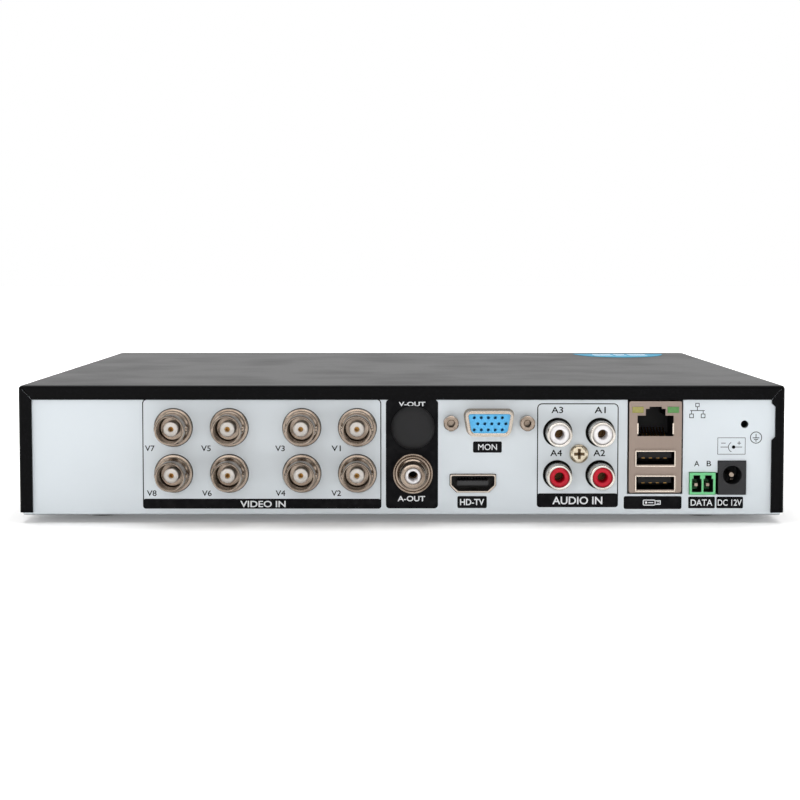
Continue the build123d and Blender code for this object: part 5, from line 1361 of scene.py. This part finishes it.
@dataclass
class DataAndPower(SubAssembly):
    """The green data terminal and the power inlet beside it."""

    terminal: Point = (225.15, 10.6)
    pitch: float = 3.81
    well: Point = (3.2, 4.4)
    throat: Point = (2.2, 1.3)
    inlet: Point = (234.9, 13.5)
    # Wall width of the black tubes that paint shade inside the wells.
    shade_tube_wall: float = 0.12
    fit: float = 0.02

    def build(self) -> None:
        """Finishes both, puts black tubes in the terminal's wells as painted shade and adds the inlet's
        collar and spring.
        """
        self.shop.dress(TERMINAL_GREEN, "data_terminal_body")
        self.shop.dress(NICKEL, "data_terminal_pins", "power_jack_pin")
        self.shop.dress(JACK_GREY, "power_jack_body")
        self.shade_tubes()
        self.inlet_collar()

    def shade_tubes(self) -> None:
        """Lines each T-shaped well with a black tube: painted shade inside the green wells."""
        parts = []
        for side in (-1, 1):
            across = self.terminal[0] + side * self.pitch / 2
            for (width, height), up in ((self.well, -0.6), (self.throat, 2.13)):
                tube = rounded_plate(width - self.fit, height - self.fit, 0.0, -8.0, 0.7, self.shade_tube_wall)
                parts.append((tube, self.shop.frame.rear(across, self.terminal[1] + up)))
        self.shop.piece("terminal_shade_tubes", merged(parts), SOCKET_BLACK, "terminal_green")

    def inlet_collar(self) -> None:
        """Turns the raised collar round the inlet's bore and bends its contact spring."""
        profile = [(3.1, 0.2), (3.1, 0.86), (3.22, 0.92), (3.42, 0.92), (3.52, 0.84), (3.52, 0.2)]
        collar = turned(profile, 48)
        spring = rounded_plate(0.9, 4.6, 0.2, -2.75, -2.45)
        place = self.shop.frame.rear(*self.inlet)
        self.shop.piece("inlet_collar", merged([(collar, place)]), JACK_GREY, "connector_black")
        tilt = place @ Matrix.Translation((0.0, -2.2, -2.6)) @ Matrix.Rotation(math.radians(72.0), 4, "X")
        bmesh.ops.translate(spring, verts=spring.verts[:], vec=(0.0, 0.0, 2.6))
        self.shop.piece("inlet_spring", merged([(spring, tilt)]), NICKEL, "nickel")


# ---------------------------------------------------------------- front and inside
@dataclass
class FrontPanel(SubAssembly):
    """The moulded fascia with its window, lamps and power key."""

    sign_above_key: float = 10.0
    marks_below_lamps: float = 4.6
    lamps: int = 4
    lamp_edge: float = 1.5

    def build(self) -> None:
        """Finishes the front and prints the power sign and the lamp marks."""
        self.shop.dress(FASCIA, "front_fascia")
        self.shop.dress(WINDOW, "front_window")
        self.shop.dress(KEY, "power_key")
        self.shop.dress(SWITCH, "switch_plunger", "front_board_parts")
        self.shop.dress(GREEN_MASK, "front_board")
        self.shop.dress(LAMP_CLEAR, "status_lamps")
        key = node_middle("power_key")
        place = self.shop.frame.face(key.x, key.z + self.sign_above_key * MM)
        pen = Pen(-0.04, 0.03, 0.32)
        parts = [pen.bend((0.0, 0.0), 1.5, 125.0, 415.0), pen.stroke((0.0, 0.5), (0.0, 1.9))]
        sign = merged([(shape, place @ move) for shape, move in parts])
        self.shop.piece("print_power_sign", sign, GREY_INK, "insulator_white")
        self.lamp_marks()

    def lamp_marks(self) -> None:
        """Prints one small mark under each lamp on the window."""
        low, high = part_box("status_lamps")
        first, last = low.x + self.lamp_edge * MM, high.x - self.lamp_edge * MM
        marks = []
        for index in range(self.lamps):
            x = first + index * (last - first) / (self.lamps - 1)
            place = self.shop.frame.face(x, (low.z + high.z) / 2 - self.marks_below_lamps * MM)
            marks.append((rounded_plate(2.4, 0.4, 0.0, -0.04, 0.02), place))
        self.shop.piece("print_lamp_marks", merged(marks), GREY_INK, "insulator_white")


@dataclass
class MainBoard(SubAssembly):
    """The main circuit board with its parts."""

    def build(self) -> None:
        """Finishes the board."""
        low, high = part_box("board_capacitors")
        self.shop.dress(GREEN_MASK, "main_board")
        self.shop.dress(CanSleeve("capacitor_sleeve", top=high.z - 0.9 * MM), "board_capacitors")
        self.shop.dress(CHIP, "board_chips")
        self.shop.dress(FERRITE, "board_inductors")
        self.shop.dress(HEADER, "board_headers")
        self.shop.dress(SWITCH, "buzzer")
        self.shop.dress(CELL_STEEL, "coin_cell")
        self.shop.dress(ALUMINIUM, "heat_sink")
        self.shop.dress(BRASS, "board_posts")
        self.shop.dress(SCREW_ZINC, "inner_screws")
        self.shop.dress(LEAD, "inner_leads")


@dataclass
class DriveAndFan(SubAssembly):
    """The hard drive with its discs and head arm, and the fan."""

    def build(self) -> None:
        """Finishes the drive and the fan."""
        self.shop.dress(CASTING, "drive_base")
        self.shop.dress(LID_STEEL, "drive_cover")
        self.shop.dress(GREEN_MASK, "drive_board")
        self.shop.dress(SOCKET_BLACK, "drive_socket")
        self.shop.dress(MIRROR, "drive_platters")
        self.shop.dress(ALUMINIUM, "drive_arm")
        self.shop.dress(SCREW_ZINC, "drive_screws")
        self.shop.dress(FAN, "fan_frame", "fan_rotor")


# ---------------------------------------------------------------- studio
@dataclass
class Studio:
    """The pale floor, the soft lights, the surroundings and the camera."""

    wall: float
    distance: float = 0.6255
    eye_height: float = 0.0858
    lens: float = 85.8
    tilt: float = 4.125
    pan: float = 0.05
    floor_half: float = 6.0
    backdrop_radius: float = 5.5

    def build(self) -> None:
        """Sets everything up."""
        self.floor()
        self.backdrop()
        self.surroundings()
        self.lights()
        self.camera()
        bpy.context.scene.view_settings.view_transform = "Standard"

    @staticmethod
    def stand(name: str, shape: Shape, material: bpy.types.Material) -> bpy.types.Object:
        """Makes one thing that is part of the studio and not of the recorder."""
        mesh = bpy.data.meshes.new(name)
        shape.to_mesh(mesh)
        shape.free()
        mesh.materials.append(material)
        item = bpy.data.objects.new(name, mesh)
        bpy.context.scene.collection.objects.link(item)
        item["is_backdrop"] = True
        return item

    def floor(self) -> None:
        """Lays the floor: nearly white card with a faint grain and a painted glow, weak near the recorder,
        where it lightens the shadow, and full far away, where it keeps the floor white.
        """
        graph = Graph("floor_card")
        grain = graph.noise(0.0008, 2.0)
        # Painted glow: weak round the recorder to lighten its shadow, full further off.
        far = (abs(graph.along("X")) + abs(graph.along("Y"))).above(0.75, 0.9)
        glow = graph.mix(far, (0.22, 0.22, 0.22), (1.0, 1.0, 1.0))
        graph.feed(Base_Color=graph.mix(grain, (0.93, 0.93, 0.93), (0.95, 0.95, 0.95)), Roughness=0.9,
                   Specular_IOR_Level=0.1, Emission_Color=glow, Emission_Strength=0.6)
        shape = bmesh.new()
        bmesh.ops.create_grid(shape, x_segments=1, y_segments=1, size=self.floor_half)
        self.stand("floor", shape, graph.material)

    def surroundings(self) -> None:
        """Makes the surroundings white behind the recorder and above it, and warm and dim in front."""
        world = bpy.data.worlds.new("studio")
        bpy.context.scene.world = world
        world.use_nodes = True
        sky = Nodes(world.node_tree)
        heading = sky.add("ShaderNodeTexCoord", {}, {}).outputs["Generated"]
        towards_sockets = sky.axis("Y", heading).above(0.45, 0.6)
        glow = sky.mix(towards_sockets, (1.0, 1.0, 1.0), (0.10, 0.09, 0.08))
        lamp = sky.add("ShaderNodeBackground", {}, {"Color": glow, "Strength": 1.0})
        sky.add("ShaderNodeOutputWorld", {}, {"Surface": lamp.outputs[0]})

    def backdrop(self) -> None:
        """Bends a white card round the socket side, seen directly but giving no light or reflection."""
        graph = Graph("backdrop_card")
        grain = graph.noise(0.05, 2.0)
        graph.feed(Base_Color=graph.mix(grain, (0.93, 0.93, 0.93), (0.95, 0.95, 0.95)), Roughness=0.9,
                   Emission_Color=(1.0, 1.0, 1.0), Emission_Strength=1.0)
        shape = bmesh.new()
        bmesh.ops.create_uvsphere(shape, u_segments=32, v_segments=16, radius=self.backdrop_radius)
        geometry = [*shape.verts, *shape.edges, *shape.faces]
        bmesh.ops.bisect_plane(shape, geom=geometry, plane_co=(0.0, 0.3, 0.0), plane_no=(0.0, 1.0, 0.0),
                               clear_inner=True)
        bmesh.ops.reverse_faces(shape, faces=shape.faces[:])
        card = self.stand("backdrop", shape, graph.material)
        card.visible_diffuse = card.visible_glossy = card.visible_transmission = card.visible_shadow = False

    def lights(self) -> None:
        """Hangs one large soft light overhead, one behind the camera and one at each side."""
        aim = Vector((0.0, 0.05, 0.02))
        rows = {
            "overhead": ((0.0, -0.30, 1.1), 1.5, 1.2, 12.0),
            "behind_camera": ((0.15, 1.6, 0.45), 1.2, 0.6, 6.0),
            "left_side": ((1.1, 0.3, 0.5), 0.6, 0.9, 1.4),
            "right_side": ((-1.2, 0.5, 0.45), 0.5, 0.8, 1.2),
        }
        for name, (spot, width, height, power) in rows.items():
            data = bpy.data.lights.new(name, "AREA")
            data.shape = "RECTANGLE"
            data.size, data.size_y, data.energy = width, height, power
            lamp = bpy.data.objects.new(name, data)
            lamp.location = spot
            lamp.rotation_euler = (aim - Vector(spot)).to_track_quat("-Z", "Y").to_euler()
            bpy.context.scene.collection.objects.link(lamp)

    def camera(self) -> None:
        """Places the camera behind the recorder, a little above its top."""
        data = bpy.data.cameras.new("camera")
        data.lens = self.lens
        data.sensor_width = 36.0
        data.clip_start, data.clip_end = 0.01, 20.0
        item = bpy.data.objects.new("camera", data)
        item.location = (0.0, self.wall + self.distance, self.eye_height)
        item.rotation_euler = (math.radians(90.0 - self.tilt), 0.0, math.pi + math.radians(self.pan))
        bpy.context.scene.collection.objects.link(item)
        bpy.context.scene.camera = item


def corners() -> list[list[float]]:
    """The shown object's lowest and highest corners as plain lists."""
    bpy.context.view_layer.update()
    return [list(corner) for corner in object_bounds()]


def main() -> None:
    """Builds every sub-assembly in order, then the studio."""
    logging.basicConfig(level=logging.INFO, format="%(message)s")
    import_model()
    before = corners()
    frame = Frame()
    shop = Workshop(frame)
    for kind in (SteelCase, WallPrint, VideoInputs, AudioInputs, OutputColumn, PictureOutputs,
                 NetworkBlock, DataAndPower, FrontPanel, MainBoard, DriveAndFan):
        LOG.info("-- %s", kind.__name__)
        kind(shop).build()
    Studio(frame.wall).build()
    {"cad": before, "visual": corners()}


if __name__ == "__main__":
    main()
